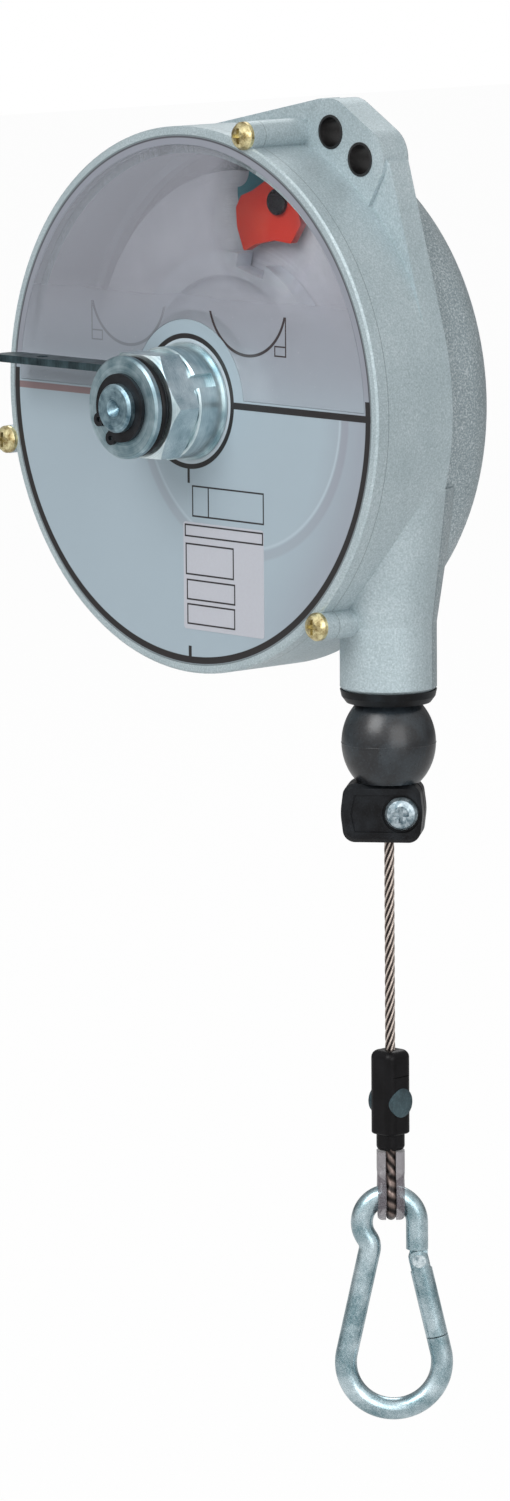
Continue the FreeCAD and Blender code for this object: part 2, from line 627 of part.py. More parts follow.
def make_shaft():
    piece = Piece("shaft")
    nose, r, deep = S.nose_radius, S.shaft_radius, S.circlip_groove
    tail_groove = boss_face + S.hub_gap + S.rear_washer_thickness
    tail_end = tail_groove + S.circlip_thickness + S.shaft_tail
    piece.revolve([(0, nose_end), (nose - 0.8, nose_end), (nose, nose_end + 0.8),
                   (nose, circlip_front), (nose - deep, circlip_front), (nose - deep, washer_front),
                   (nose, washer_front), (nose, -S.hub_gap), (r, -S.hub_gap), (r, tail_groove),
                   (r - deep, tail_groove), (r - deep, tail_groove + S.circlip_thickness),
                   (r, tail_groove + S.circlip_thickness), (r, tail_end - 0.6), (r - 0.6, tail_end),
                   (0, tail_end)])
    drill = S.centre_drill_radius
    piece.revolve([(0, nose_end - 1), (drill + 1, nose_end - 1), (drill, nose_end),
                   (0, nose_end + drill)], cut=True)
    washer = Piece("rear_washer")
    washer.revolve(ring(r, S.rear_washer_radius, boss_face + S.hub_gap, tail_groove))
    make_circlip("rear_circlip", r - deep, S.circlip_radius, tail_groove)


def make_circlip(label, inner, outer, front):
    """An outside retaining ring with two eyes beside its gap."""
    piece = Piece(label)
    back = front + S.circlip_thickness
    piece.revolve(ring(inner, outer, front, back))
    gap, half = (cosd(S.circlip_turn), sind(S.circlip_turn)), S.circlip_gap / 2
    piece.extrude(front - 1, back + 1, [spread(gap, 0, -half), spread(gap, outer + 1, -half),
                                        spread(gap, outer + 1, half), spread(gap, 0, half)], cut=True)
    for side in (-half - S.circlip_eye_radius, half + S.circlip_eye_radius):
        x, z = spread(gap, outer - S.circlip_eye_hole, side)
        piece.extrude(front, back, (x, z, RHO, S.circlip_eye_radius))
        piece.extrude(front - 1, back + 1, (x, z, RHO, S.circlip_eye_hole), cut=True)


def make_hub_stack():
    nose = S.nose_radius
    washer = Piece("hub_washer")
    lip = -S.hub_gap - S.hub_washer_flange
    washer.revolve([(nose, collar_front), (S.collar_radius, collar_front), (S.collar_radius, lip),
                    (S.hub_washer_radius, lip), (S.hub_washer_radius, -S.hub_gap), (nose, -S.hub_gap)])
    collar = Piece("ratchet_collar")
    collar.revolve([(nose, nut_back), (S.collar_radius - 0.5, nut_back), (S.collar_radius, nut_back + 0.5),
                    (S.collar_radius, collar_front), (nose, collar_front)])
    low, high, half = S.collar_radius - S.slot_depth, S.collar_radius + 1, S.slot_width / 2
    slot = collar.extrude(nut_back - 1, collar_front + 1,
                          [spread(NOSE, low, -half), spread(NOSE, high, -half),
                           spread(NOSE, high, half), spread(NOSE, low, half)], cut=True)
    collar.around(slot, S.ratchet_slots, cut=True)
    nut = Piece("adjusting_nut")
    corners = [at_angle(nut_corner, 60 * k) for k in range(6)]
    nut.extrude(nut_front, nut_back, corners, (0, 0, RHO, nose))
    edge, over = S.nut_flats / 2, nut_corner + 1
    drop = (over - edge) * S.nut_chamfer / 60
    nut.revolve([(edge, nut_front), (over, nut_front + drop), (over, nut_front - 1), (edge, nut_front - 1)],
                cut=True)
    nut.revolve([(edge, nut_back), (edge, nut_back + 1), (over, nut_back + 1), (over, nut_back - drop)],
                cut=True)
    nut.revolve(ring(nose, S.neck_radius, neck_front, nut_front))
    seal = torus("hub_o_ring", S.neck_radius + S.o_ring_section, S.o_ring_section,
                 y=(neck_front + nut_front) / 2)
    keep(seal, "hub_o_ring")
    outer = S.end_washer_radius
    end = Piece("end_washer")
    end.revolve([(nose, washer_front), (outer - 0.7, washer_front), (outer, washer_front + 0.7),
                 (outer, neck_front - 0.4), (outer - 0.4, neck_front), (nose, neck_front)])
    make_circlip("hub_circlip", nose - S.circlip_groove, S.circlip_radius, circlip_front)


NOSE_REACH = S.collar_radius + S.lever_nose_gap
NOSE_SINE = S.lever_height / NOSE_REACH
NOSE = (-root(1 - NOSE_SINE * NOSE_SINE), NOSE_SINE)


def make_lever():
    piece = Piece("release_lever")
    back = S.lever_front + S.lever_width
    low, high = S.lever_height - S.lever_thickness / 2, S.lever_height + S.lever_thickness / 2
    px, pz, eye = lever_pivot_x, S.lever_pivot_z, S.lever_eye_radius
    piece.extrude(S.lever_front, back, rectangle(-lever_tip, -S.collar_radius / 2, low, high))
    piece.extrude(S.lever_front, back, [(px - eye, pz), (px, pz - 0.5), (px + eye * 0.8, pz + 0.8),
                                        (px + eye * 0.8, low + 0.5), (px - eye, low + 0.5)])
    piece.extrude(S.lever_front, back, (px, pz, RHO, eye))
    piece.dress("Fillet", S.lever_tip_ease, lambda edge: abs(edge.CenterOfMass.x + number(lever_tip)) < 0.01
                and abs(edge.BoundBox.ZLength - number(S.lever_thickness)) < 0.01)
    clear = S.lever_nose_gap
    piece.revolve([(0, S.lever_front - 1), (nut_corner + clear, S.lever_front - 1),
                   (nut_corner + clear, nut_back + clear), (NOSE_REACH, nut_back + clear),
                   (NOSE_REACH, back + 1), (0, back + 1)], cut=True)
    piece.extrude(S.lever_front - 1, back + 1, (px, pz, RHO, S.lever_stud_radius + S.running_clearance),
                  cut=True)
    piece.extrude(low - 1, high + 1, (S.lever_hole_x, S.lever_front + S.lever_width / 2, RHO,
                                      S.lever_hole_radius), plane="XY", cut=True)
    stud = Piece("lever_stud", px, 0, pz)
    head = S.lever_front - 0.15
    stud.revolve([(0, head - S.stud_head_height), (eye - 0.5, head - S.stud_head_height),
                  (eye, head - S.stud_head_height + 0.5), (eye, head), (S.lever_stud_radius, head),
                  (S.lever_stud_radius, cover_back - 1), (0, cover_back - 1)])
    turns = [torus(f"lever_spring_{k + 1}", eye - S.spring_wire - 0.15, S.spring_wire, px,
                   -0.8 - S.spring_wire - k * 1.1, pz) for k in range(3)]
    group("lever_spring", turns)


# ---------------------------------------------------------------------------------------------------
# drum, bearings, power spring and safety pawl
# ---------------------------------------------------------------------------------------------------
def make_drum():
    piece = Piece("drum")
    seat, lip = S.bearing_outer_radius, S.bearing_outer_radius - S.bearing_lip
    hub, web = seat + S.hub_wall, S.drum_front + S.drum_web
    stop = S.drum_front + S.bearing_width
    piece.revolve([(seat, S.drum_front), (flange_radius, S.drum_front), (flange_radius, flange_back),
                   (barrel_radius, flange_back), (barrel_radius, barrel_end),
                   (rear_flange_radius, barrel_end), (rear_flange_radius, drum_end),
                   (barrel_bore, drum_end), (barrel_bore, web), (hub, web), (hub, stop + S.bearing_lip),
                   (lip, stop + S.bearing_lip), (lip, stop), (seat, stop)])
    x, z = at_angle(pawl_circle, S.pawl_angle)
    piece.extrude(S.drum_front - 1, flange_back + 1, (x, z, RHO, S.pawl_pin_radius), cut=True)
    circle = barrel_bore + S.barrel_wall / 2
    x, z = at_angle(circle, 0)
    hole = piece.extrude(cover_end - S.spring_screw_length, drum_end + 1,
                         (x, z, RHO, S.spring_screw_radius), cut=True)
    piece.around(hole, S.spring_screw_count, cut=True)
    cover = Piece("spring_cover")
    rear = cover_end - S.bearing_width
    rim = rear_flange_radius - S.spring_cover_inset
    cover.revolve([(seat, cover_end), (rim, cover_end), (rim, drum_end), (hub, drum_end),
                   (hub, rear - S.bearing_lip), (lip, rear - S.bearing_lip), (lip, rear),
                   (seat, rear)])
    hole = cover.extrude(drum_end - 1, cover_end + 1, (x, z, RHO, S.spring_screw_radius), cut=True)
    cover.around(hole, S.spring_screw_count, cut=True)
    seat_end = cover_end - S.spring_screw_sink
    sink = cover.extrude(seat_end, cover_end + 1, (x, z, RHO, S.spring_screw_head), cut=True)
    cover.around(sink, S.spring_screw_count, cut=True)
    screws = []
    for index, angle in enumerate(evenly(S.spring_screw_count), start=1):
        x, z = at_angle(circle, angle)
        screw = Piece(f"spring_cover_screw_{index}", x, 0, z, listed=False)
        screw.revolve([(0, cover_end), (S.spring_screw_head, cover_end), (S.spring_screw_head, seat_end),
                       (S.spring_screw_radius, seat_end),
                       (S.spring_screw_radius, cover_end - S.spring_screw_length),
                       (0, cover_end - S.spring_screw_length)])
        screws.append(screw.body)
    group("spring_cover_screws", screws)


def make_bearings():
    inner, outer, wall = S.shaft_radius, S.bearing_outer_radius, S.ring_thickness
    starts = (S.drum_front, cover_end - S.bearing_width)
    for label, low, high in (("bearing_inner_rings", inner, inner + wall),
                             ("bearing_outer_rings", outer - wall, outer)):
        rings = []
        for index, start in enumerate(starts, start=1):
            piece = Piece(f"{label}_{index}", listed=False)
            piece.revolve(ring(low, high, start, start + S.bearing_width))
            rings.append(piece.body)
        group(label, rings)
    pitch = (inner + outer) / 2
    radius = (outer - inner - 2 * wall) / 2 - S.running_clearance
    balls = []
    for start in starts:
        for angle in evenly(S.ball_count):
            ball = doc.addObject("Part::Sphere", f"bearing_ball_{len(balls) + 1}")
            bind(ball, "Radius", radius)
            x, z = at_angle(pitch, angle)
            place(ball, x, start + S.bearing_width / 2, z)
            balls.append(ball)
    group("bearing_balls", balls)
    Piece("spring_arbor").revolve(ring(inner, S.arbor_radius, strip_front, strip_back))


def make_power_spring():
    """A flat strip wound in half turns, whose centres change sides so that the radius keeps growing."""
    thick = number(S.strip_thickness)
    start = number(S.arbor_radius + S.strip_end_gap)
    grow = (number(barrel_bore) - number(S.fit_gap) - thick - start) / (2 * int(number(S.strip_turns)))
    low, high = number(strip_front), number(strip_back)

    def edge(offset):
        radius, centre, arcs = start + offset, 0.0, []
        for half in range(2 * int(number(S.strip_turns))):
            side = 1 if half % 2 == 0 else -1
            first = FreeCAD.Vector(centre + side * radius, low, 0)
            middle = FreeCAD.Vector(centre, low, side * radius)
            last = FreeCAD.Vector(centre - side * radius, low, 0)
            arcs.append(Part.Arc(first, middle, last).toShape())
            centre += side * grow
            radius += grow
        return arcs

    inner, outer = edge(0.0), edge(thick)
    begin = Part.makeLine(inner[0].Vertexes[0].Point, outer[0].Vertexes[0].Point)
    end = Part.makeLine(inner[-1].Vertexes[-1].Point, outer[-1].Vertexes[-1].Point)
    face = Part.Face(Part.Wire(Part.__sortEdges__(inner + [end] + outer + [begin])))
    solid("power_spring", face.extrude(FreeCAD.Vector(0, high - low, 0)))


def make_wound_rope():
    turns = []
    for index in range(int(number(S.rope_turns))):
        sweep = 340 if index == 0 else 360
        turns.append(torus(f"rope_turn_{index + 1}", rope_x, S.rope_radius,
                           y=rope_y + S.rope_pitch * index, sweep=sweep))
    group("wound_rope", turns)


PAWL_OUTLINE = [(-5.0, 6.6), (1.0, 5.2), (5.0, 4.4), (7.6, 1.0), (10.7, -3.2), (8.1, -10.0), (1.0, -11.4),
                (-6.4, -15.2), (-10.3, -18.7), (-15.0, -12.8), (-17.0, -7.4), (-15.8, -3.4), (-11.6, -0.4),
                (-7.9, 3.2)]


def make_pawl():
    x, z = at_angle(pawl_circle, S.pawl_angle)
    plate = Piece("pawl_plate", x, 0, z)
    front = S.drum_front - S.plate_thickness
    plate.extrude(front, S.drum_front, (-S.plate_shift, S.plate_rise, RHO, S.plate_radius))
    plate.extrude(front - 1, S.drum_front + 1, (0, 0, RHO, S.pawl_pin_radius), cut=True)
    plate.extrude(front - 1, S.drum_front + 1,
                  (-S.plate_shift - S.plate_radius, S.plate_rise + S.plate_radius * 0.55, RHO,
                   S.plate_bite_radius), cut=True)
    pin = Piece("pawl_pin", x, 0, z)
    r, head = S.pawl_pin_radius, S.pawl_head_radius
    pin.revolve([(0, pawl_front - 1.8), (head - 0.6, pawl_front - 1.8), (head, pawl_front - 1.2),
                 (head, pawl_front - 0.2), (r, pawl_front - 0.2), (r, flange_back), (0, flange_back)])
    pawl = Piece("safety_pawl", x, 0, z, (0, 1, 0), S.pawl_rest_turn)
    pawl.extrude(pawl_front, pawl_back, PAWL_OUTLINE)
    pawl.dress("Fillet", 0.9, lambda edge: isinstance(edge.Curve, Part.Line)
               and edge.BoundBox.XLength < 0.01 and edge.BoundBox.ZLength < 0.01)
    pawl.extrude(pawl_front - 1, pawl_back + 1, (0, 0, RHO, r + S.running_clearance), cut=True)


# ---------------------------------------------------------------------------------------------------
# rope, rubber buffer and stop clamp
# ---------------------------------------------------------------------------------------------------
def rod(label, low, high):
    """A straight length of rope on the rope's own line."""
    item = doc.addObject("Part::Cylinder", label)
    bind(item, "Radius", S.rope_radius)
    bind(item, "Height", Dim.of(high) - low)
    place(item, rope_x, rope_y, low)
    return keep(item, label)


def make_rope():
    rod("rope_run", buffer_top, -S.ball_gap)
    rod("rope_core", clamp_bottom + S.clamp_mouth_depth, buffer_top)
    rod("rope_drop", clip_top - S.clip_grip, hinge_z)


def make_buffer():
    ball = doc.addObject("Part::Ellipsoid", "buffer_ball")
    bind(ball, "Radius1", S.buffer_rise)
    bind(ball, "Radius2", S.buffer_radius)
    bind(ball, "Radius3", S.buffer_radius)
    place(ball, rope_x, rope_y, buffer_top - S.buffer_height / 2)
    slab = doc.addObject("Part::Cylinder", "buffer_slab")
    bind(slab, "Radius", S.buffer_radius + 1)
    bind(slab, "Height", S.buffer_height)
    place(slab, rope_x, rope_y, clamp_top)
    hole = doc.addObject("Part::Cylinder", "buffer_bore")
    bind(hole, "Radius", S.buffer_hole)
    bind(hole, "Height", S.buffer_height + 2)
    place(hole, rope_x, rope_y, clamp_top - 1)
    cut = doc.addObject("Part::Common", "buffer_flats")
    cut.Base, cut.Tool = ball, slab
    buffer = doc.addObject("Part::Cut", "rubber_buffer")
    buffer.Base, buffer.Tool = cut, hole
    keep(buffer, "rubber_buffer")


def on_clamp(label):
    return Piece(label, rope_x, rope_y, 0, (0, 0, 1), S.clamp_turn)


def clamp_outline(inset):
    """The clamp's face: barrel sides that bulge at half height, moved in by an inset."""
    low, high, middle = clamp_bottom + inset, clamp_top - inset, (clamp_top + clamp_bottom) / 2
    left, right, bulge = inset - S.clamp_left, S.clamp_right - inset, S.clamp_bulge
    return [(left + bulge, low), (right - bulge, low), (right, middle), (right - bulge, high),
            (left + bulge, high), (left, middle)]


def make_clamp():
    half_d, gap = S.clamp_depth / 2, S.clamp_split / 2
    middle = (clamp_top + clamp_bottom) / 2
    seat = half_d - S.clamp_recess
    for label, side in (("clamp_front", -1), ("clamp_rear", 1)):
        piece = on_clamp(label)

        def span(inner, outer):
            """Two depths of this half, the lower one first."""
            return (-outer, -inner) if side < 0 else (inner, outer)

        def upright(edge):
            box = edge.BoundBox
            return box.YLength > 1 and box.XLength < 0.01 and box.ZLength < 0.01

        piece.extrude(*span(gap, half_d), clamp_outline(0))
        mid = number(middle)
        piece.dress("Fillet", S.clamp_side_radius,
                    lambda edge: upright(edge) and abs(edge.CenterOfMass.z - mid) < 0.01)
        piece.dress("Fillet", S.clamp_corner, lambda edge: upright(edge)
                    and abs(edge.CenterOfMass.z - mid) > number(S.clamp_height) / 2 - 0.01)
        face = side * number(half_d)
        piece.dress("Chamfer", S.clamp_ease,
                    lambda edge: all(abs(v.Point.y - face) < 0.01 for v in edge.Vertexes))
        piece.extrude(*span(half_d - S.clamp_pocket, half_d + 1),
                      clamp_outline(S.clamp_rim + S.clamp_ease), cut=True)
        piece.extrude(*span(seat, half_d + 1),
                      (S.clamp_screw_x, middle, RHO, S.clamp_recess_radius), cut=True)
        piece.revolve(rectangle(0, S.rope_radius, clamp_bottom - 1, clamp_top + 1), plane="XZ", cut=True)
        piece.revolve([(0, clamp_bottom - 0.1), (S.clamp_mouth_radius, clamp_bottom - 0.1),
                       (S.rope_radius, clamp_bottom + S.clamp_mouth_depth),
                       (0, clamp_bottom + S.clamp_mouth_depth)], plane="XZ", cut=True)
        piece.extrude(*span(gap - 1, half_d + 1),
                      (S.clamp_screw_x, middle, RHO, S.clamp_screw_radius), cut=True)
    turn = (0, 0, 1), S.clamp_turn
    cosine, sine = cosd(S.clamp_turn), sind(S.clamp_turn)
    x, y = rope_x + S.clamp_screw_x * cosine, rope_y + S.clamp_screw_x * sine
    screw = Piece("clamp_screw", x, y, middle, *turn)
    head, top = S.clamp_head_radius, -seat - S.clamp_head_height
    end = seat + S.clamp_nut_thickness + 0.8
    screw.revolve([(0, top), (head * 0.5, top), (head * 0.85, top + S.clamp_head_height * 0.2),
                   (head, top + S.clamp_head_height * 0.65), (head, -seat), (S.clamp_screw_radius, -seat),
                   (S.clamp_screw_radius, end), (0, end)])
    screw.extrude(top - 1, top + 1.3, cross(head * 0.5, 0.6), cut=True)
    nut = Piece("clamp_nut", x, y, middle, *turn)
    corner = S.clamp_nut_flats / 2 / cosd(30)
    nut.extrude(seat, seat + S.clamp_nut_thickness, [at_angle(corner, 60 * k) for k in range(6)],
                (0, 0, RHO, S.clamp_screw_radius))


# ---------------------------------------------------------------------------------------------------
# end clip and rope eye
# ---------------------------------------------------------------------------------------------------
def make_clip():
    half_w, half_t = S.clip_width / 2, S.clip_thickness / 2
    piece = Piece("end_clip", rope_x, rope_y, 0, (0, 0, 1), S.clip_turn)
    tail_top = clip_top - S.clip_block_height
    tail_w, tail_t = half_w - S.clip_tail_narrow, half_t - S.clip_tail_thin
    ends = number(clip_top), number(clip_bottom)
    piece.extrude(tail_top, clip_top, rectangle(-half_w, half_w, -half_t, half_t), plane="XY")
    piece.extrude(clip_bottom, tail_top, rectangle(-tail_w, tail_w, -tail_t, tail_t), plane="XY")
    piece.dress("Fillet", S.clip_corner, lambda edge: edge.BoundBox.ZLength > 2)
    for level, radius in zip(ends, (S.clip_top_ease, S.clip_tail_ease)):
        piece.dress("Fillet", radius, lambda edge: edge.BoundBox.ZLength < 0.01
                    and abs(edge.BoundBox.ZMin - level) < 0.01)
    step, ledge = number(tail_top), number(tail_w + half_w) / 2
    piece.dress("Fillet", S.clip_step_ease, lambda edge: edge.BoundBox.ZLength < 0.01
                and abs(edge.BoundBox.ZMin - step) < 0.01
                and max(abs(edge.BoundBox.XMin), abs(edge.BoundBox.XMax),
                        abs(edge.BoundBox.YMin), abs(edge.BoundBox.YMax)) > ledge)
    shoulder, seam = clip_top - S.clip_grip, clip_top - S.clip_seam_drop
    cavity_w, cavity_d = S.clip_cavity_width / 2, S.clip_cavity_depth / 2
    piece.extrude(clip_bottom - 1, shoulder, rectangle(-cavity_w, cavity_w, -cavity_d, cavity_d),
                  plane="XY", cut=True)
    piece.revolve(rectangle(0, S.rope_radius, shoulder - 1, clip_top + 1), plane="XZ", cut=True)
    deep = S.clip_seam * 0.75
    for side in (1, -1):
        piece.extrude(seam - S.clip_seam, seam, rectangle(-half_w - 1, half_w + 1, side * (half_t - deep),
                                                          side * (half_t + 1)), plane="XY", cut=True)
    radius, rise, sunk = S.clip_rivet_radius, S.clip_rivet_height, half_t - S.clip_rivet_depth
    level = clip_top - S.clip_rivet_drop
    piece.extrude(sunk, half_t + 1, (0, level, RHO, radius), cut=True)
    piece.extrude(-half_t - 1, -sunk, (0, level, RHO, radius), cut=True)
    ferrule = Piece("rope_ferrule", rope_x, rope_y, 0, (0, 0, 1), S.clip_turn)
    wide, deep = cavity_w - S.fit_gap, cavity_d - S.fit_gap
    ferrule.extrude(clip_bottom + S.ferrule_drop, shoulder, rectangle(-wide, wide, -deep, deep), plane="XY")
    buttons = []
    for index, side in enumerate((-1, 1), start=1):
        button = Piece(f"clip_button_{index}", rope_x, rope_y, level, (0, 0, 1), S.clip_turn, listed=False)
        button.revolve([(0, side * (half_t + rise)), (radius - 0.6, side * (half_t + rise)),
                        (radius, side * (half_t + rise / 2)), (radius, side * sunk), (0, side * sunk)])
        buttons.append(button.body)
    group("clip_rivet", buttons)


def make_eye():
    """The rope's eye: two legs down from the ferrule, spread round a bottom bow, on a grooved thimble."""
    v = FreeCAD.Vector
    rope, bend, width = number(S.rope_radius), number(S.eye_bend_radius), number(S.sleeve_radius)
    bore, leg_x = number(S.eye_bore_radius), number(S.eye_leg_spread)
    bow = bore + number(S.sleeve_floor) + rope
    knee = math.sqrt((bow + bend) ** 2 - (leg_x + bend) ** 2)
    turn = math.atan2(knee, leg_x + bend)
    half = (math.pi + turn + math.pi) / 2

    def loop(out, top):
        """Edges of the rope's line moved outwards, from one leg's top round the bow to the other's."""
        centre = v(leg_x + bend, 0, knee)
        points = [v(leg_x + out, 0, top), v(leg_x + out, 0, knee),
                  centre + v(math.cos(half), 0, math.sin(half)) * (bend - out),
                  v(math.cos(turn), 0, math.sin(turn)) * (bow + out)]
        other = [v(-p.x, 0, p.z) for p in points]
        return [Part.makeLine(points[0], points[1]), Part.Arc(*points[1:]).toShape(),
                Part.Arc(points[3], v(0, 0, -bow - out), other[3]).toShape(),
                Part.Arc(other[3], other[2], other[1]).toShape(), Part.makeLine(other[1], other[0])]

    def slab(out, top, thick):
        """The loop's inside as a plate of this half thickness."""
        edges = loop(out, top)
        closing = Part.makeLine(edges[4].Vertexes[1].Point, edges[0].Vertexes[0].Point)
        face = Part.Face(Part.Wire(edges + [closing]))
        face.translate(v(0, -thick, 0))
        return face.extrude(v(0, 2 * thick, 0))

    leg_top, cover_top = number(clip_bottom + S.ferrule_drop - eye_z), number(clip_bottom - eye_z - S.fit_gap)
    path = Part.Wire(loop(0, leg_top))
    section = Part.Wire(Part.makeCircle(rope, v(leg_x, 0, leg_top), v(0, 0, 1)))
    eye = path.makePipeShell([section], True, True)
    cover = slab(rope, cover_top, width)
    rims = [edge for edge in cover.Edges if edge.BoundBox.YLength < 0.01 and edge.BoundBox.ZMin < cover_top - 0.01]
    cover = cover.makeFillet(number(S.sleeve_ease), rims)
    trumpet = Part.makeCylinder(bore + width, 2 * width, v(0, -width, 0), v(0, 1, 0)).cut(
        Part.makeTorus(bore + width, width, v(0, 0, 0), v(0, 1, 0)))
    groove = slab(rope + 1, cover_top + 1, rope).cut(slab(0, cover_top + 2, 2 * rope))
    cover = cover.cut(trumpet).cut(groove).cut(eye)
    for label, shape in (("rope_eye", eye), ("eye_sleeve", cover)):
        solid(label, shape, rope_x, rope_y, eye_z, S.eye_turn)


# ---------------------------------------------------------------------------------------------------
# snap hook
# ---------------------------------------------------------------------------------------------------
def make_hook():
    """The hook's wire runs down the spine side, round the big bow and up to the gate's nose."""
    v = FreeCAD.Vector
    wire = number(S.hook_wire)
    small, big = number(S.hook_small_radius), number(S.hook_big_radius)
    a = v(number(S.hook_small_shift), 0, number(small_z))
    b = v(number(S.hook_big_shift), 0, number(big_z))
    bend = number(S.hook_kink_radius)
    # the spine touches the big bow and a small outer bend, which touches the small bow
    kink = math.radians(number(S.hook_kink_angle))
    touch = a + v(math.cos(kink), 0, math.sin(kink)) * small
    c = a + v(math.cos(kink), 0, math.sin(kink)) * (small + bend)
    reach = b - c
    span = reach.Length
    base = math.atan2(reach.z, reach.x)
    tilt = base + math.acos((big + bend) / span)
    # crossed tangent between the outer bend and the big bow
    leave = c + v(math.cos(tilt), 0, math.sin(tilt)) * bend
    meet = b - v(math.cos(tilt), 0, math.sin(tilt)) * big
    half = math.atan2((touch - c).z, (touch - c).x), math.atan2((leave - c).z, (leave - c).x)
    turn = (half[1] - half[0] + math.pi) % (2 * math.pi) - math.pi
    bend_mid = c + v(math.cos(half[0] + turn / 2), 0, math.sin(half[0] + turn / 2)) * bend
    # the gate side: a tangent from the pin to the big bow
    pin = v(number(S.gate_pin_x), 0, number(pin_z))
    side = b - pin
    lean = math.atan2(side.z, side.x) + math.asin(big / side.Length)
    along = v(math.cos(lean), 0, math.sin(lean))
    right = pin + along * math.sqrt(side.Length ** 2 - big ** 2)
    nose = pin + along * (number(S.gate_length) + number(S.gate_gap))
    low = b + v(0, 0, -big)
    top = a + v(0, 0, small)
    joint = v(a.x + small, 0, a.z - number(S.hook_joint_drop))
    edges = [Part.makeLine(nose, right), Part.Arc(right, low, meet).toShape(), Part.makeLine(meet, leave),
             Part.Arc(leave, bend_mid, touch).toShape(),
             Part.Arc(touch, top, v(a.x + small, 0, a.z)).toShape(),
             Part.makeLine(v(a.x + small, 0, a.z), joint)]
    path = Part.Wire(edges)
    section = Part.Wire(Part.makeCircle(wire, nose, along))
    body = path.makePipeShell([section], True, True)
    across = v(0, 1, 0)
    through = 4 * wire
    tongue_half, slot_half = number(S.gate_tongue) / 2, number(S.gate_slot) / 2
    knuckle = wire - 0.25
    tongue = Part.makeCylinder(wire - 0.6, 2 * tongue_half, pin - across * tongue_half, across)
    neck = Part.makeBox(2 * (wire - 0.6), 2 * tongue_half, joint.z - pin.z + 1.0,
                        v(pin.x - wire + 0.6, -tongue_half, pin.z))
    neck = neck.common(Part.makeCylinder(wire, 2 * through, joint - v(0, 0, through), v(0, 0, 1)))
    pin_radius = number(S.gate_pin_radius)
    body = body.fuse([tongue, neck]).removeSplitter()
    body = body.cut(Part.makeCylinder(pin_radius, 2 * through, pin - across * through, across))
    # the gate: a round bar with a rounded, slotted head on the pin
    bar = Part.makeCylinder(wire, number(S.gate_length), pin, along)
    head = Part.makeCylinder(knuckle, 2 * through, pin - across * through, across).common(
        Part.makeCylinder(wire, 2 * through, pin - along * through, along))
    gate = bar.fuse(head).removeSplitter()
    frame = FreeCAD.Rotation(v(0, 0, -1), along)
    slot = Part.makeBox(2 * through, 2 * slot_half, 2 * through, v(-through, -slot_half, -(wire + 0.1)))
    slot.Placement = FreeCAD.Placement(pin, frame)
    gate = gate.cut(slot)
    gate = gate.cut(Part.makeCylinder(pin_radius + number(S.running_clearance), 2 * through,
                                      pin - across * through, across))
    rise = number(S.gate_pin_head_height)
    long = wire + 0.05
    rivet = Part.makeCylinder(pin_radius, 2 * long, pin - across * long, across)
    for sign in (1, -1):
        cap = Part.makeCylinder(number(S.gate_pin_head), rise, pin + across * (sign * long), across * sign)
        rivet = rivet.fuse(cap)
    for label, shape in (("hook_body", body), ("hook_gate", gate), ("gate_pin", rivet.removeSplitter())):
        solid(label, shape, rope_x, rope_y, 0, S.hook_turn)


def check():
    """Stop with the names of everything that failed or came out empty."""
    faults = [f"{item.Name}: {' '.join(item.State)}" for item in doc.Objects
              if "Invalid" in item.State or "Error" in item.State]
    for node in NODES:
        shape = node.Shape
        if shape.isNull() or not shape.isValid() or not shape.Solids:
            faults.append(f"{node.Label}: bad shape")
    if faults:
        raise RuntimeError("\n".join(faults))


def main():
    for make in (make_casing, make_cover, make_cover_screws, make_lug_bushes, make_outlet_bush,
                 make_bushes, make_stop_disc, make_shaft, make_hub_stack, make_lever, make_drum,
                 make_bearings, make_power_spring, make_wound_rope, make_pawl, make_rope, make_buffer,
                 make_clamp, make_clip, make_eye, make_hook):
        make()
    doc.recompute()
    check()
    os.makedirs("parts", exist_ok=True)
    for node in NODES:
        node.Shape.exportStep(os.path.join("parts", f"{node.Label}.step"))
        box = node.Shape.BoundBox
        print(f"{node.Label:22s} {len(node.Shape.Solids):3d} {node.Shape.Volume:11.1f}"
              f"  x {box.XMin:7.1f} {box.XMax:7.1f}  y {box.YMin:7.1f} {box.YMax:7.1f}"
              f"  z {box.ZMin:7.1f} {box.ZMax:7.1f}")
    print(len(NODES), "nodes")


main()
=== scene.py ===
"""Looks of a spring tool balancer: casing with half window, hub, rope, stop clamp and snap hook.

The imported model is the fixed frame.  Lengths in the classes are millimetres about the drum shaft
(X right, Y back from the cover's front face, Z up); SHAFT moves them into the model's own frame.
"""
import json
import logging
import math
from dataclasses import dataclass
from enum import Enum
from typing import Optional, Protocol, Sequence, Union

import bmesh
import bpy
import numpy as np
from mathutils import Matrix, Vector


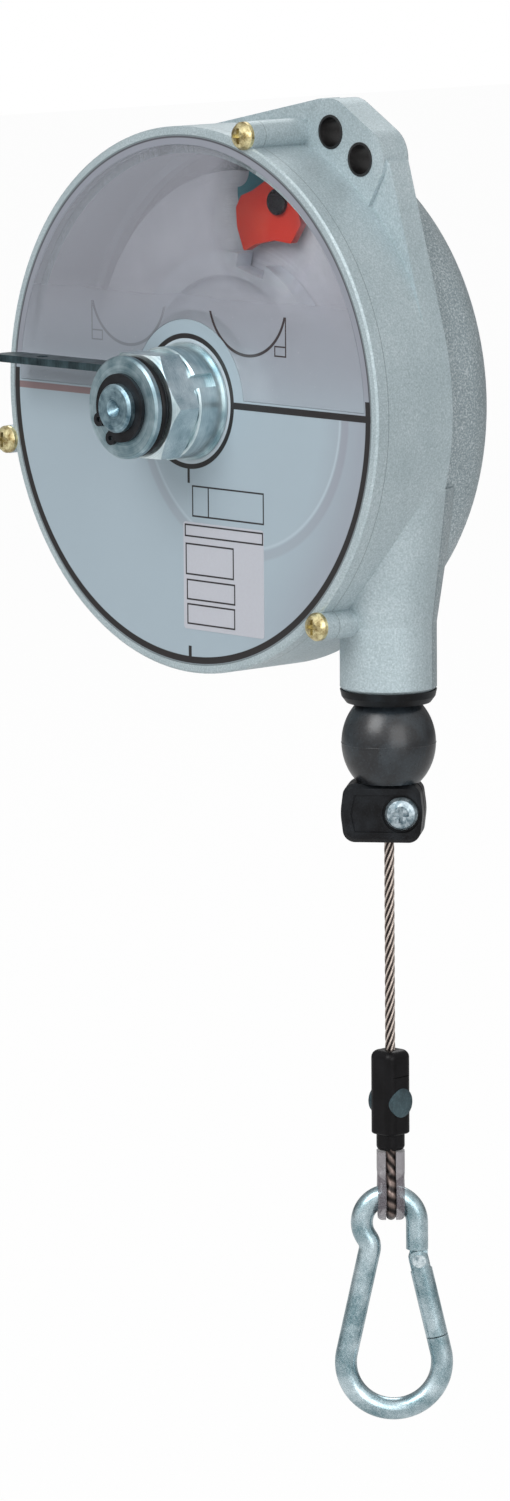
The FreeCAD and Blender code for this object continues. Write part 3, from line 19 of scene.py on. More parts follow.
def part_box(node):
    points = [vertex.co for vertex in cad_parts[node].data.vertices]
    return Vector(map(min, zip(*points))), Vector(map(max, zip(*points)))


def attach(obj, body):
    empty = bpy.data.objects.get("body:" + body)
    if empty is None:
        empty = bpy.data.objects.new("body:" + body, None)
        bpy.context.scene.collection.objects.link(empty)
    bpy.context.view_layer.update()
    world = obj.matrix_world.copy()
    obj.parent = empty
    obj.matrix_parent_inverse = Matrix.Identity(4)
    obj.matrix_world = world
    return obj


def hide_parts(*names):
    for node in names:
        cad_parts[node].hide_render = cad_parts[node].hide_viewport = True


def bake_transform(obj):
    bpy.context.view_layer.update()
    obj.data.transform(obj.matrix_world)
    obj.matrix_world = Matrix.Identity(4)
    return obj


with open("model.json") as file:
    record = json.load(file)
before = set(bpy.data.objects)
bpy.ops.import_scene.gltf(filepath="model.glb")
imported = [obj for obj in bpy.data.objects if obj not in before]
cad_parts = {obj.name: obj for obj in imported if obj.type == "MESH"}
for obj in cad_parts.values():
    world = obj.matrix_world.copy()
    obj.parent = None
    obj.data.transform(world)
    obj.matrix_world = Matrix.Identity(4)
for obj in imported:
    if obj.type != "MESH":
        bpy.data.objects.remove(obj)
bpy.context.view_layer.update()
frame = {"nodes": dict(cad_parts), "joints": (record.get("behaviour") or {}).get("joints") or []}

LOG = logging.getLogger("balancer")
MM = 0.001
TURN = 2 * math.pi
MERGE = 1e-7             # metres within which points are one, so that a pole closes
JOINTS = {joint["name"]: joint for joint in frame["joints"]}
SHAFT = np.array(JOINTS["drum_spin"]["pos_m"]) / MM
Colour = tuple[float, float, float]
Box = tuple[float, float, float, float]


def tone(red: int, green: int, blue: int) -> Colour:
    """Turn a colour as a screen shows it into light, by the curve that screens share.

    Args:
        red: Red, 0 to 255.
        green: Green, 0 to 255.
        blue: Blue, 0 to 255.

    Returns:
        The three light values, 0 to 1.
    """
    shown = np.array((red, green, blue)) / 255.0
    light = np.where(shown <= 0.04045, shown / 12.92, ((shown + 0.055) / 1.055) ** 2.4)
    return tuple(float(value) for value in light)


# ------------------------------------------------------------------------------------------------
# shader arithmetic
# ------------------------------------------------------------------------------------------------
Value = Union["Sock", float, int]


class Sock:
    """A socket of a node tree that takes part in Python arithmetic."""

    def __init__(self, tree: "Tree", socket: bpy.types.NodeSocket) -> None:
        """Keep the tree and the socket."""
        self.tree = tree
        self.socket = socket

    def _op(self, operation: str, *values: Value) -> "Sock":
        """Add one Math node over the values."""
        return self.tree.node("ShaderNodeMath", {"operation": operation}, dict(enumerate(values)))

    def __add__(self, other: Value) -> "Sock":
        """Sum."""
        return self._op("ADD", self, other)

    __radd__ = __add__

    def __sub__(self, other: Value) -> "Sock":
        """Difference."""
        return self._op("SUBTRACT", self, other)

    def __rsub__(self, other: Value) -> "Sock":
        """Difference from a number."""
        return self._op("SUBTRACT", other, self)

    def __mul__(self, other: Value) -> "Sock":
        """Product."""
        return self._op("MULTIPLY", self, other)

    __rmul__ = __mul__

    def __truediv__(self, other: Value) -> "Sock":
        """Quotient."""
        return self._op("DIVIDE", self, other)

    def abs(self) -> "Sock":
        """Absolute value."""
        return self._op("ABSOLUTE", self)

    def sin(self) -> "Sock":
        """Sine of an angle in radians."""
        return self._op("SINE", self)

    def root(self) -> "Sock":
        """Square root."""
        return self._op("SQRT", self)

    def atan2(self, other: Value) -> "Sock":
        """Angle of (other, self) in radians."""
        return self._op("ARCTAN2", self, other)

    def fraction(self) -> "Sock":
        """Fractional part."""
        return self._op("FRACT", self)

    def below(self, limit: Value) -> "Sock":
        """1 where the value is under the limit."""
        return self._op("LESS_THAN", self, limit)

    def above(self, limit: Value) -> "Sock":
        """1 where the value is over the limit."""
        return self._op("GREATER_THAN", self, limit)

    def at_least(self, other: Value) -> "Sock":
        """The larger of the two."""
        return self._op("MAXIMUM", self, other)

    def at_most(self, other: Value) -> "Sock":
        """The smaller of the two."""
        return self._op("MINIMUM", self, other)

    def ramp(self, low: float, high: float) -> "Sock":
        """0 at low, 1 at high, straight in between and held outside."""
        return self.tree.node("ShaderNodeMapRange", {"clamp": True},
                              {0: self, 1: low, 2: high, 3: 0.0, 4: 1.0})

    def near(self, centre: float, half: float, soft: float = 0.12) -> "Sock":
        """1 within half of the centre, fading out over a soft edge."""
        return 1 - (self - centre).abs().ramp(half - soft / 2, half + soft / 2)

    def between(self, low: float, high: float) -> "Sock":
        """1 from low to high."""
        return self.near((low + high) / 2, (high - low) / 2)

    def other(self, out: Union[int, str]) -> "Sock":
        """Another output of the same node."""
        return Sock(self.tree, self.socket.node.outputs[out])

    def parts(self) -> tuple["Sock", "Sock", "Sock"]:
        """A vector's x, y and z."""
        x = self.tree.node("ShaderNodeSeparateXYZ", {}, {0: self})
        return x, x.other(1), x.other(2)


class Tree:
    """The nodes of a material or a world, and the one method that adds to them."""

    def __init__(self, owner: Union[bpy.types.Material, bpy.types.World]) -> None:
        """Start the owner's tree with nothing in it.

        Args:
            owner: The material or world.
        """
        owner.use_nodes = True
        self.owner = owner
        self.nodes = owner.node_tree.nodes
        self.links = owner.node_tree.links
        self.nodes.clear()

    @classmethod
    def named(cls, name: str) -> "Tree":
        """Start the tree of a new material."""
        return cls(bpy.data.materials.new(name))

    def node(self, kind: str, settings: dict, inputs: dict, out: Union[int, str] = 0) -> Sock:
        """Add a node.

        Args:
            kind: The node's type.
            settings: Its own properties, set first.
            inputs: A value, colour or socket for each input, by index or name.
            out: Which output to give back.

        Returns:
            The chosen output.
        """
        made = self.nodes.new(kind)
        for key, value in settings.items():
            setattr(made, key, value)
        for key, value in inputs.items():
            socket = made.inputs[key]
            if isinstance(value, Sock):
                self.links.new(value.socket, socket)
            elif socket.type == "RGBA":
                socket.default_value = (*value, 1.0)
            else:
                socket.default_value = value
        return Sock(self, made.outputs[out])

    def place(self) -> tuple[Sock, Sock, Sock, Sock]:
        """Millimetres about the shaft.

        Returns:
            The place as a vector, and its x, y and z.
        """
        raw = self.node("ShaderNodeTexCoord", {}, {}, "Object")
        moved = self.node("ShaderNodeVectorMath", {"operation": "MULTIPLY_ADD"},
                          {0: raw, 1: (1 / MM, 1 / MM, 1 / MM), 2: tuple(-SHAFT)})
        return moved, *moved.parts()

    def vector(self, x: Value, y: Value, z: Value) -> Sock:
        """Three values as a vector."""
        return self.node("ShaderNodeCombineXYZ", {}, {0: x, 1: y, 2: z})

    def noise(self, where: Sock, size: float, detail: float = 3.0, rough: float = 0.5) -> Sock:
        """Noise from 0 to 1 whose blobs are about size millimetres."""
        return self.node("ShaderNodeTexNoise", {}, {"Vector": where, "Scale": 1.0 / size,
                                                    "Detail": detail, "Roughness": rough})

    def mix(self, factor: Value, first: Union[Sock, Colour], second: Union[Sock, Colour]) -> Sock:
        """A colour between two."""
        return self.node("ShaderNodeMix", {"data_type": "RGBA"},
                         {0: factor, 6: first, 7: second}, 2)

    def bump(self, height: Sock, depth: float, strength: float = 1.0) -> Sock:
        """A bumped normal; depth is in millimetres for a height of 1."""
        return self.node("ShaderNodeBump", {},
                         {"Strength": strength, "Distance": depth * MM, "Height": height})

    def finish(self, **inputs: Union[Sock, float, Colour]) -> bpy.types.Material:
        """Close the material with a Principled shader.

        Args:
            inputs: Values or sockets, with _ for each space of an input's name.

        Returns:
            The material.
        """
        named = {key.replace("_", " "): value for key, value in inputs.items()}
        self.output(self.node("ShaderNodeBsdfPrincipled", {}, named))
        return self.owner

    def output(self, shader: Sock, kind: str = "ShaderNodeOutputMaterial") -> None:
        """Send a shader to the surface of the material or world."""
        self.links.new(shader.socket, self.nodes.new(kind).inputs[0])


def reach(x: Sock, z: Sock, centre: tuple[float, float] = (0.0, 0.0)) -> Sock:
    """Distance from a point of the cover's face: the root of the sum of two squares.

    Args:
        x: Millimetres to the right of the shaft.
        z: Millimetres above the shaft.
        centre: The point's own x and z.

    Returns:
        The distance in millimetres.
    """
    across, up = x - centre[0], z - centre[1]
    return (across * across + up * up).root()


# ------------------------------------------------------------------------------------------------
# finishes
# ------------------------------------------------------------------------------------------------
INK = tone(22, 18, 20)


class Finish(Protocol):
    """Anything that makes a material."""

    def material(self) -> bpy.types.Material:
        """Make the material."""


class Marks(Enum):
    """What the fine marks of a metal piece follow."""

    TURNED = "rings about the drum shaft"
    DRAWN = "lines along the length"
    CAST = "no direction"


@dataclass(frozen=True)
class Metal:
    """Plated or bare metal: two shades in soft patches, with fine marks of the tool."""

    name: str
    light: Colour
    dark: Colour
    rough: float = 0.3
    marks: Marks = Marks.TURNED
    metallic: float = 0.9
    patch: float = 7.0
    ring_marks: float = 6.0
    line_marks: float = 5.0
    cast_grain: float = 0.45

    def material(self) -> bpy.types.Material:
        """Make the material.

        Returns:
            The material.
        """
        tree = Tree.named(self.name)
        where, x, y, z = tree.place()
        if self.marks is Marks.TURNED:
            lines = tree.noise(tree.vector(reach(x, z) * self.ring_marks, y * self.ring_marks,
                                           z.atan2(x) * 0.4), 1.0)
        elif self.marks is Marks.DRAWN:
            lines = tree.noise(tree.vector(x * self.line_marks, y * self.line_marks, z * 0.15), 1.0)
        else:
            lines = tree.noise(where, self.cast_grain, 4.0)
        patches = tree.noise(where, self.patch).ramp(0.36, 0.66)
        shade = (patches * 0.75 + lines.ramp(0.35, 0.7) * 0.4).at_most(1.0)
        return tree.finish(Base_Color=tree.mix(shade, self.dark, self.light),
                           Metallic=self.metallic, Roughness=self.rough + lines * 0.14,
                           Normal=tree.bump(lines, 0.02, 0.6))


@dataclass(frozen=True)
class CastPaint:
    """Speckled metallic paint over a casting; the rear shell is darker and grainier."""

    name: str = "cast_paint"
    front: Colour = tone(170, 185, 190)
    rear: Colour = tone(150, 163, 168)
    seam: Colour = tone(84, 94, 98)
    pale_speck: Colour = tone(236, 243, 245)
    dark_speck: Colour = tone(96, 110, 112)
    seam_y: float = 31.0
    cover_y: float = 4.5
    grain_size: float = 0.55
    cloud_size: float = 18.0
    metallic: float = 0.25

    def material(self) -> bpy.types.Material:
        """Make the material.

        Returns:
            The material.
        """
        tree = Tree.named(self.name)
        where, _, y, _ = tree.place()
        colour, grain = self.coat(tree, where, y)
        return tree.finish(Base_Color=colour, Metallic=self.metallic,
                           Roughness=0.46 + grain * 0.12, Normal=tree.bump(grain, 0.10, 0.5))

    def coat(self, tree: Tree, where: Sock, y: Sock) -> tuple[Sock, Sock]:
        """The paint's colour and its grain.

        Args:
            tree: The material's tree.
            where: The place in millimetres.
            y: The depth in millimetres.

        Returns:
            Colour and grain, the latter from 0 to 1.
        """
        grain = tree.noise(where, self.grain_size, 4.0, 0.6)
        clouds = tree.noise(where, self.cloud_size)
        rear = y.ramp(self.seam_y - 0.05, self.seam_y + 0.05)
        colour = tree.mix(rear, self.front, self.rear)
        contrast = (grain - 0.5) * (1.5 + rear * 1.3) + (clouds - 0.5) * 0.45
        colour = tree.mix(contrast.at_least(0.0), colour, self.pale_speck)
        colour = tree.mix((contrast * -1.0).at_least(0.0), colour, self.dark_speck)
        gap = y.near(self.cover_y, 0.14).at_least(y.near(self.seam_y, 0.16))
        return tree.mix(gap * 0.5, colour, self.seam), grain


@dataclass(frozen=True)
class DataFrames:
    """Bare printed frames; each box is left, right, bottom and top."""

    boxes: tuple[Box, ...] = ((1.4, 32.3, -33.8, -24.5), (1.4, 8.7, -33.8, -24.5))
    stroke: float = 0.5

    def ink(self, x: Sock, z: Sock) -> Sock:
        """Ink of all frames.

        Args:
            x: Millimetres to the right of the shaft.
            z: Millimetres above the shaft.

        Returns:
            1 on a frame's line and 0 elsewhere.
        """
        total: Value = 0.0
        for left, right, low, high in self.boxes:
            outside = x.between(left, right) * z.between(low, high)
            inside = (x.between(left + self.stroke, right - self.stroke)
                      * z.between(low + self.stroke, high - self.stroke))
            total = (outside - inside).at_least(total)
        return total


@dataclass(frozen=True)
class CoverPrint(CastPaint):
    """The cover: paint on its rim and sides, and a printed plate on its front."""

    name: str = "cover_print"
    plate: Colour = tone(158, 174, 184)
    plate_cloud: Colour = tone(176, 190, 198)
    shadow: Colour = tone(140, 141, 152)
    glint: Colour = tone(196, 208, 216)
    hub_land: Colour = tone(205, 214, 220)
    left_line: Colour = tone(132, 112, 114)
    upper_band: Colour = tone(140, 144, 154)
    plate_radius: float = 77.2
    ring_radius: float = 76.1
    band_radius: float = 74.0
    hub_ring_radius: float = 19.1
    hub_land_radius: float = 17.9
    disc_radius: float = 43.6
    disc_x: float = 23.0
    upper_tick: float = -24.0
    lower_tick: float = -72.0
    print_depth: float = 0.05

    def material(self) -> bpy.types.Material:
        """Make the material.

        Returns:
            The material.
        """
        tree = Tree.named(self.name)
        where, x, y, z = tree.place()
        coat, grain = self.coat(tree, where, y)
        radius = reach(x, z)
        fine = tree.noise(where, 0.3, 2.0)
        printed = y.below(self.print_depth) * radius.below(self.plate_radius)
        edge = radius.near(self.plate_radius + 0.2, 0.22) * y.below(0.3)
        plate = self.printing(tree, where, radius, x, z)
        colour = tree.mix(edge * 0.7, tree.mix(printed, coat, plate), self.seam)
        return tree.finish(Base_Color=colour, Metallic=(1 - printed) * self.metallic,
                           Roughness=0.44 + fine * 0.08,
                           Normal=tree.bump(grain * (1 - printed) + fine * 0.2, 0.08, 0.5))

    def printing(self, tree: Tree, where: Sock, radius: Sock, x: Sock, z: Sock) -> Sock:
        """The plate's colours: clouds, the stop disc's faint ring, side shade, lines and frames.

        Args:
            tree: The material's tree.
            where: The place in millimetres.
            radius: Distance from the shaft.
            x: Millimetres to the right of the shaft.
            z: Millimetres above the shaft.

        Returns:
            The colour.
        """
        plate = tree.mix(tree.noise(where, 40.0) * 0.22, self.plate, self.plate_cloud)
        # Painted shade: the stop disc's faint ring, a band with a thin painted highlight just
        # inside it, and the side towards the right edge.
        to_disc = reach(x, z, (self.disc_x, 0.0))
        ghost = (to_disc.near(self.disc_radius, 1.5, 0.9) * 0.34
                 + to_disc.near(self.disc_radius - 1.9, 0.5, 0.5) * -0.2) * z.below(0.0)
        side = radius.ramp(56.0, 73.0) * x.ramp(22.0, 60.0) * 0.55
        plate = tree.mix((ghost + side).at_least(0.0), plate, self.shadow)
        plate = tree.mix((ghost * -1.6).at_least(0.0), plate, self.glint)
        land = radius.near(self.hub_land_radius, 1.0, 0.5)
        plate = tree.mix(land * 0.5, plate, self.hub_land)
        line = z.near(0.0, 1.0) * radius.above(self.hub_ring_radius)
        plate = tree.mix(line * x.below(0.0), plate, self.left_line)
        ink = self.rings(radius, x, z).at_least(line * x.above(0.0))
        ink = ink.at_least(DataFrames().ink(x, z))
        plate = tree.mix(z.ramp(2.0, 9.0) * radius.above(self.band_radius), plate, self.upper_band)
        return tree.mix(ink, plate, INK)

    def rings(self, radius: Sock, x: Sock, z: Sock) -> Sock:
        """Ink of the outer and the hub's ring, and of the tick below each.

        Args:
            radius: Distance from the shaft.
            x: Millimetres to the right of the shaft.
            z: Millimetres above the shaft.

        Returns:
            1 on a line and 0 elsewhere.
        """
        outer = radius.near(self.ring_radius, 1.0) * z.below(5.0)
        outer = outer.at_least(radius.near(self.plate_radius - 0.3, 0.25) * 0.75)
        inner = radius.near(self.hub_ring_radius, 0.75)
        low = x.near(0.0, 0.65) * z.between(-self.ring_radius, self.lower_tick)
        high = x.near(0.0, 0.5) * z.between(self.upper_tick, -self.hub_ring_radius)
        return outer.at_least(inner).at_least(low).at_least(high)


@dataclass(frozen=True)
class Window:
    """Tinted clear sheet, printed with two turn arrows and veiled towards its base."""

    name: str = "window_sheet"
    tint: Colour = tone(176, 178, 188)
    veil: Colour = tone(160, 170, 180)
    scuff: Colour = tone(225, 230, 235)
    ink: Colour = tone(58, 50, 52)
    clear_spot: tuple[float, float] = (32.0, 55.0)
    arc_centre: tuple[float, float] = (25.8, 31.3)
    arc_radius: float = 16.4
    arc_top: float = 27.0
    block: Box = (37.2, 42.2, 15.4, 18.6)
    stem_x: float = 42.0
    print_depth: float = 0.05

    def material(self) -> bpy.types.Material:
        """Make the material.

        Returns:
            The material.
        """
        tree = Tree.named(self.name)
        where, x, y, z = tree.place()
        haze = tree.noise(where, 22.0, 4.0)
        scuffs = tree.noise(where, 0.5, 2.0).ramp(0.70, 0.78)
        veil = 1 - (z + (haze - 0.5) * 10.0).ramp(3.0, 33.0)
        clear = 1 - reach(x, z, self.clear_spot).ramp(15.0, 25.0)
        front = y.below(self.print_depth)
        right, left = self.arrow(x, z) * front, self.arrow(x * -1.0, z) * front * 0.35
        ink = right.at_least(left)
        colour = tree.mix(veil, self.tint, self.veil)
        colour = tree.mix(scuffs * 0.5, colour, self.scuff)
        colour = tree.mix(ink, colour, self.ink)
        film = (0.36 + veil * 0.54 + haze * 0.08) * (1 - clear * 0.95)
        return tree.finish(Base_Color=colour, Roughness=0.12 + haze * 0.1,
                           Alpha=(film + scuffs * 0.12).at_least(ink),
                           Normal=tree.bump(haze, 0.05, 0.3))

    def arrow(self, x: Sock, z: Sock) -> Sock:
        """Ink of an arc with a small block and its stem at its right end.

        Args:
            x: Millimetres towards the arrow's side.
            z: Millimetres above the shaft.

        Returns:
            1 on the arrow and 0 elsewhere.
        """
        arc = reach(x, z, self.arc_centre).near(self.arc_radius, 0.45) * z.below(self.arc_top)
        block = DataFrames((self.block,), 0.45).ink(x, z)
        stem = x.near(self.stem_x, 0.25) * z.between(self.block[2], self.arc_top)
        return arc.at_least(block).at_least(stem)


@dataclass(frozen=True)
class Sticker:
    """Pale film with bare frames."""

    name: str = "data_sticker"
    ground: Colour = tone(186, 190, 198)
    fibre: Colour = tone(168, 162, 170)
    boxes: tuple[Box, ...] = ((-1.8, 32.0, -39.8, -36.0), (-1.5, 19.4, -51.0, -41.6),
                              (-1.1, 19.9, -58.4, -52.2), (-1.0, 19.8, -65.6, -59.4))

    def material(self) -> bpy.types.Material:
        """Make the material.

        Returns:
            The material.
        """
        tree = Tree.named(self.name)
        where, x, _, z = tree.place()
        fibre = tree.noise(where, 0.8)
        colour = tree.mix(fibre * 0.3, self.ground, self.fibre)
        return tree.finish(Base_Color=tree.mix(DataFrames(self.boxes).ink(x, z), colour, INK),
                           Roughness=0.5 + fibre * 0.1, Normal=tree.bump(fibre, 0.01, 0.4))


@dataclass(frozen=True)
class Coat:
    """Paint, rubber or plastic: one colour with a broad shade, a fine grain and spots of wear and
    painted sheen.
    """

    name: str
    colour: Colour
    worn_and_sheen: Colour
    rough: float = 0.5
    grain: float = 0.5
    depth: float = 0.04
    wear_and_sheen: float = 0.3
    alpha: float = 1.0
    shine: float = 0.5

    def material(self) -> bpy.types.Material:
        """Make the material.

        Returns:
            The material.
        """
        tree = Tree.named(self.name)
        where = tree.place()[0]
        grain = tree.noise(where, self.grain, 4.0, 0.6)
        clouds = tree.noise(where, self.grain * 14.0)
        # Pale spots placed at random: wear, and on the buffer also painted sheen.
        amount = (clouds.ramp(0.4, 0.75) * 0.7 + grain.ramp(0.5, 0.8) * 0.5) * self.wear_and_sheen
        return tree.finish(Base_Color=tree.mix(amount, self.colour, self.worn_and_sheen),
                           Roughness=self.rough + grain * 0.1, Alpha=self.alpha,
                           Specular_IOR_Level=self.shine,
                           Normal=tree.bump(grain, self.depth, 0.6))


@dataclass(frozen=True)
class Strand:
    """Wire rope: painted highlight on crowns, painted shade in valleys, fine wires laid against the
    strands' twist.
    """

    name: str
    # The crown colour is a painted highlight; the valley colour is painted shade.
    bright: Colour = tone(214, 200, 190)
    dark: Colour = tone(30, 20, 18)
    strands: float = 6.0
    wires: float = 12.0
    lay: float = 19.5

    def close(self, tree: Tree, turn: Sock, wire: Sock) -> bpy.types.Material:
        """Finish from the place round the rope.

        Args:
            tree: The material's tree.
            turn: Turns round the rope, twisted as its strands are.
            wire: Count of the fine wires up to the place.

        Returns:
            The material.
        """
        # Painted light and shade: colour rises from the valleys to each strand's crown and dims
        # between the fine wires.
        wires = (wire * TURN).sin() * 0.5 + 0.5
        crown = 1 - ((turn * self.strands).fraction() - 0.5).abs() * 2.0
        height = crown.ramp(0.12, 0.75)
        shade = height * height * (0.72 + wires * 0.28)
        return tree.finish(Base_Color=tree.mix(shade, self.dark, self.bright), Metallic=0.6,
                           Roughness=0.42 - wires * 0.1,
                           Normal=tree.bump(height + wires * 0.2, 0.25, 0.6))


@dataclass(frozen=True)
class SweptStrand(Strand):
    """Finish of a swept rope, whose map gives turns round it and millimetres along it."""

    wires_along: float = 0.35

    def material(self) -> bpy.types.Material:
        """Make the material.

        Returns:
            The material.
        """
        tree = Tree.named(self.name)
        turn, along, _ = tree.node("ShaderNodeUVMap", {"uv_map": "UVMap"}, {}).parts()
        return self.close(tree, turn, turn * self.wires + along * self.wires_along)


@dataclass(frozen=True)
class UprightStrand(Strand):
    """Finish of a plain round rope that hangs: strands that twist about the rope's line."""

    def material(self) -> bpy.types.Material:
        """Make the material.

        Returns:
            The material.
        """
        tree = Tree.named(self.name)
        _, x, y, z = tree.place()
        middle = sum(span("rope_core")) / 2
        turn = (y - float(middle[1])).atan2(x - float(middle[0])) / TURN + z / self.lay
        return self.close(tree, turn, turn * self.wires)


@dataclass(frozen=True)
class WoundStrand(Strand):
    """Finish of a plain round rope on the drum: strands that slant across its turns."""

    drum_radius: float = 56.84
    slant: float = 0.6

    def material(self) -> bpy.types.Material:
        """Make the material.

        Returns:
            The material.
        """
        tree = Tree.named(self.name)
        _, x, y, z = tree.place()
        turn = z.atan2(x) * (self.drum_radius * self.strands / self.lay) + y * self.slant
        return self.close(tree, turn, turn * self.wires)


# ------------------------------------------------------------------------------------------------
# meshes
# ------------------------------------------------------------------------------------------------
def surface(name: str, points: np.ndarray, closed: tuple[bool, bool], body: Optional[str],
            material: bpy.types.Material, uv: Optional[np.ndarray] = None,
            smooth: bool = True) -> bpy.types.Object:
    """A piece from a grid of points; points of a row that lie in one place become one.

    Args:
        name: The piece's name.
        points: The grid's rows, its columns, and x, y and z in millimetres about the shaft.
        closed: Whether the last row joins the first, and the last column the first.
        body: The body that the piece rides on, or None for a piece that stretches.
        material: The finish.
        uv: The map, for a grid that is open in rows: its rows, one more than its columns, two.
        smooth: Whether its faces are shaded as one round surface.

    Returns:
        The piece.
    """
    rows, columns = points.shape[:2]
    row, column = np.meshgrid(np.arange(rows if closed[0] else rows - 1),
                              np.arange(columns if closed[1] else columns - 1), indexing="ij")
    corner_row = np.stack([row, row + 1, row + 1, row], -1)
    corner_column = np.stack([column, column, column + 1, column + 1], -1)
    quads = corner_row % rows * columns + corner_column % columns
    mesh = bpy.data.meshes.new(name)
    mesh.from_pydata(((points.reshape(-1, 3) + SHAFT) * MM).tolist(), [],
                     quads.reshape(-1, 4).tolist())
    if uv is not None:
        layer = mesh.uv_layers.new(name="UVMap")
        layer.data.foreach_set("uv", uv[corner_row, corner_column].astype(np.float32).ravel())
    merged = bmesh.new()
    merged.from_mesh(mesh)
    bmesh.ops.remove_doubles(merged, verts=merged.verts, dist=MERGE)
    merged.to_mesh(mesh)
    merged.free()
    mesh.polygons.foreach_set("use_smooth", [smooth] * len(mesh.polygons))
    mesh.materials.append(material)
    piece = bpy.data.objects.new(name, mesh)
    bpy.context.scene.collection.objects.link(piece)
    if body is not None:
        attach(piece, body)
    LOG.info("%s: %d faces on %s", name, len(mesh.polygons), body or "no body")
    return piece


def dress(finish: Finish, *nodes: str) -> bpy.types.Material:
    """Give CAD nodes one finish.

    Args:
        finish: The finish.
        nodes: The nodes' names.

    Returns:
        Its material.
    """
    material = finish.material()
    for name in nodes:
        data = frame["nodes"][name].data
        data.materials.clear()
        data.materials.append(material)
        LOG.info("%s: %s", name, material.name)
    return material


def span(node: str) -> tuple[np.ndarray, np.ndarray]:
    """A CAD node's lowest and highest corners in millimetres about the shaft."""
    return tuple(np.array(corner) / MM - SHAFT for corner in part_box(node))


def nurbs_points(route: Sequence[Sequence[float]]) -> np.ndarray:
    """Points of the smooth line through a route's control points.

    Args:
        route: The control points in millimetres, of which the line meets the first and last.

    Returns:
        Points of the line in millimetres, one to a row.
    """
    data = bpy.data.curves.new("route", "CURVE")
    data.dimensions = "3D"
    data.resolution_u = 12
    spline = data.splines.new("NURBS")
    spline.points.add(len(route) - 1)
    for point, place in zip(spline.points, route):
        point.co = (*place, 1.0)
    spline.order_u = 3
    spline.use_endpoint_u = True
    holder = bpy.data.objects.new("route", data)
    bpy.context.scene.collection.objects.link(holder)
    mesh = bpy.data.meshes.new_from_object(
        holder.evaluated_get(bpy.context.evaluated_depsgraph_get()))
    points = np.zeros(len(mesh.vertices) * 3)
    mesh.vertices.foreach_get("co", points)
    bpy.data.objects.remove(holder)
    bpy.data.curves.remove(data)
    bpy.data.meshes.remove(mesh)
    return points.reshape(-1, 3)


# ------------------------------------------------------------------------------------------------
# sub-assemblies
# ------------------------------------------------------------------------------------------------
@dataclass
class Casing:
    """Cast shells, cover, window, stop disc and the fixed small parts."""

    sticker_left: float = -2.4
    sticker_right: float = 32.2
    sticker_low: float = -67.0
    sticker_high: float = -35.4
    sticker_corner: float = 1.0
    sticker_thick: float = 0.12
    sticker_points: int = 64

    def build(self) -> None:
        """Dress the CAD pieces and lay the sticker."""
        dress(CastPaint(), "casing")
        dress(CoverPrint(), "front_cover")
        dress(Window(), "sight_window")
        dress(Metal("yellow_zinc", tone(236, 226, 178), tone(128, 106, 58), marks=Marks.CAST,
                    metallic=0.85, patch=2.2), "cover_screws")
        dress(Coat("lug_bush_black", tone(14, 12, 13), tone(110, 106, 106), rough=0.3, grain=0.9,
                   depth=0.03, wear_and_sheen=0.25), "lug_bushes")
        dress(Coat("outlet_rubber", tone(8, 8, 10), tone(60, 70, 76), rough=0.35, grain=0.6,
                   depth=0.03, shine=0.16), "outlet_bush")
        dress(Metal("sintered_bronze", tone(205, 165, 110), tone(140, 100, 60), rough=0.42),
              "front_bush", "rear_bush")
        dress(Metal("cast_disc", tone(222, 230, 238), tone(180, 186, 196), rough=0.45,
                    metallic=0.25, patch=12.0), "stop_disc")
        dress(Metal("rivet_zinc", tone(226, 234, 236), tone(150, 160, 164)),
              "stop_disc_rivets", "lever_stud")
        self.sticker()

    def sticker(self) -> None:
        """The thin film, a rounded rectangle.

        A point (u, v) of the unit circle goes to (sign u (a - r) + r u, sign v (b - r) + r v), a
        and b being half the sides and r the corner's radius: each quarter of a small circle moves
        out to its own corner.  The front and the back face run in to the middle.
        """
        angle = np.linspace(0, TURN, self.sticker_points, endpoint=False)
        low = np.array([self.sticker_left, self.sticker_low])
        high = np.array([self.sticker_right, self.sticker_high])
        circle = np.stack([np.cos(angle), np.sin(angle)], -1)
        ring = (np.sign(circle) * ((high - low) / 2 - self.sticker_corner)
                + circle * self.sticker_corner)
        flat = (high + low) / 2 + ring * np.array([0.0, 1.0, 1.0, 0.0])[:, None, None]
        depth = (np.array([-1.0, -1.0, 0.0, 0.0])[:, None] * self.sticker_thick
                 + np.zeros(flat.shape[:2]))
        points = np.stack([flat[..., 0], depth, flat[..., 1]], -1)
        surface("label_sticker", points, (False, True), "casing",
                Sticker().material(), smooth=False)


@dataclass
class Hub:
    """Shaft end, ratchet, adjusting nut and the release lever."""

    pale: Colour = tone(228, 240, 242)
    teal: Colour = tone(140, 168, 177)

    def build(self) -> None:
        """Dress the CAD pieces."""
        dress(Metal("hub_zinc", self.pale, self.teal, rough=0.26, patch=9.0),
              "hub_washer", "ratchet_collar", "adjusting_nut")
        dress(Metal("washer_zinc", tone(176, 196, 203), tone(92, 122, 132), metallic=0.85,
                    patch=6.0), "end_washer")
        dress(Metal("shaft_steel", tone(160, 186, 196), tone(44, 78, 94), patch=3.0), "shaft")
        dress(Metal("black_spring", tone(44, 46, 50), tone(16, 16, 18), rough=0.34,
                    marks=Marks.CAST, metallic=0.6), "rear_circlip", "hub_circlip", "lever_spring")
        dress(Coat("seal_rubber", tone(6, 6, 8), tone(50, 56, 60), rough=0.35, grain=0.4,
                   shine=0.2), "hub_o_ring")
        dress(Metal("lever_steel", tone(72, 92, 98), tone(20, 30, 36), rough=0.32,
                    marks=Marks.DRAWN, metallic=0.8, patch=5.0), "release_lever")
        dress(Metal("plain_steel", tone(190, 194, 198), tone(140, 144, 150), rough=0.35),
              "rear_washer", "spring_arbor", "bearing_inner_rings", "bearing_outer_rings",
              "bearing_balls", "spring_cover_screws")


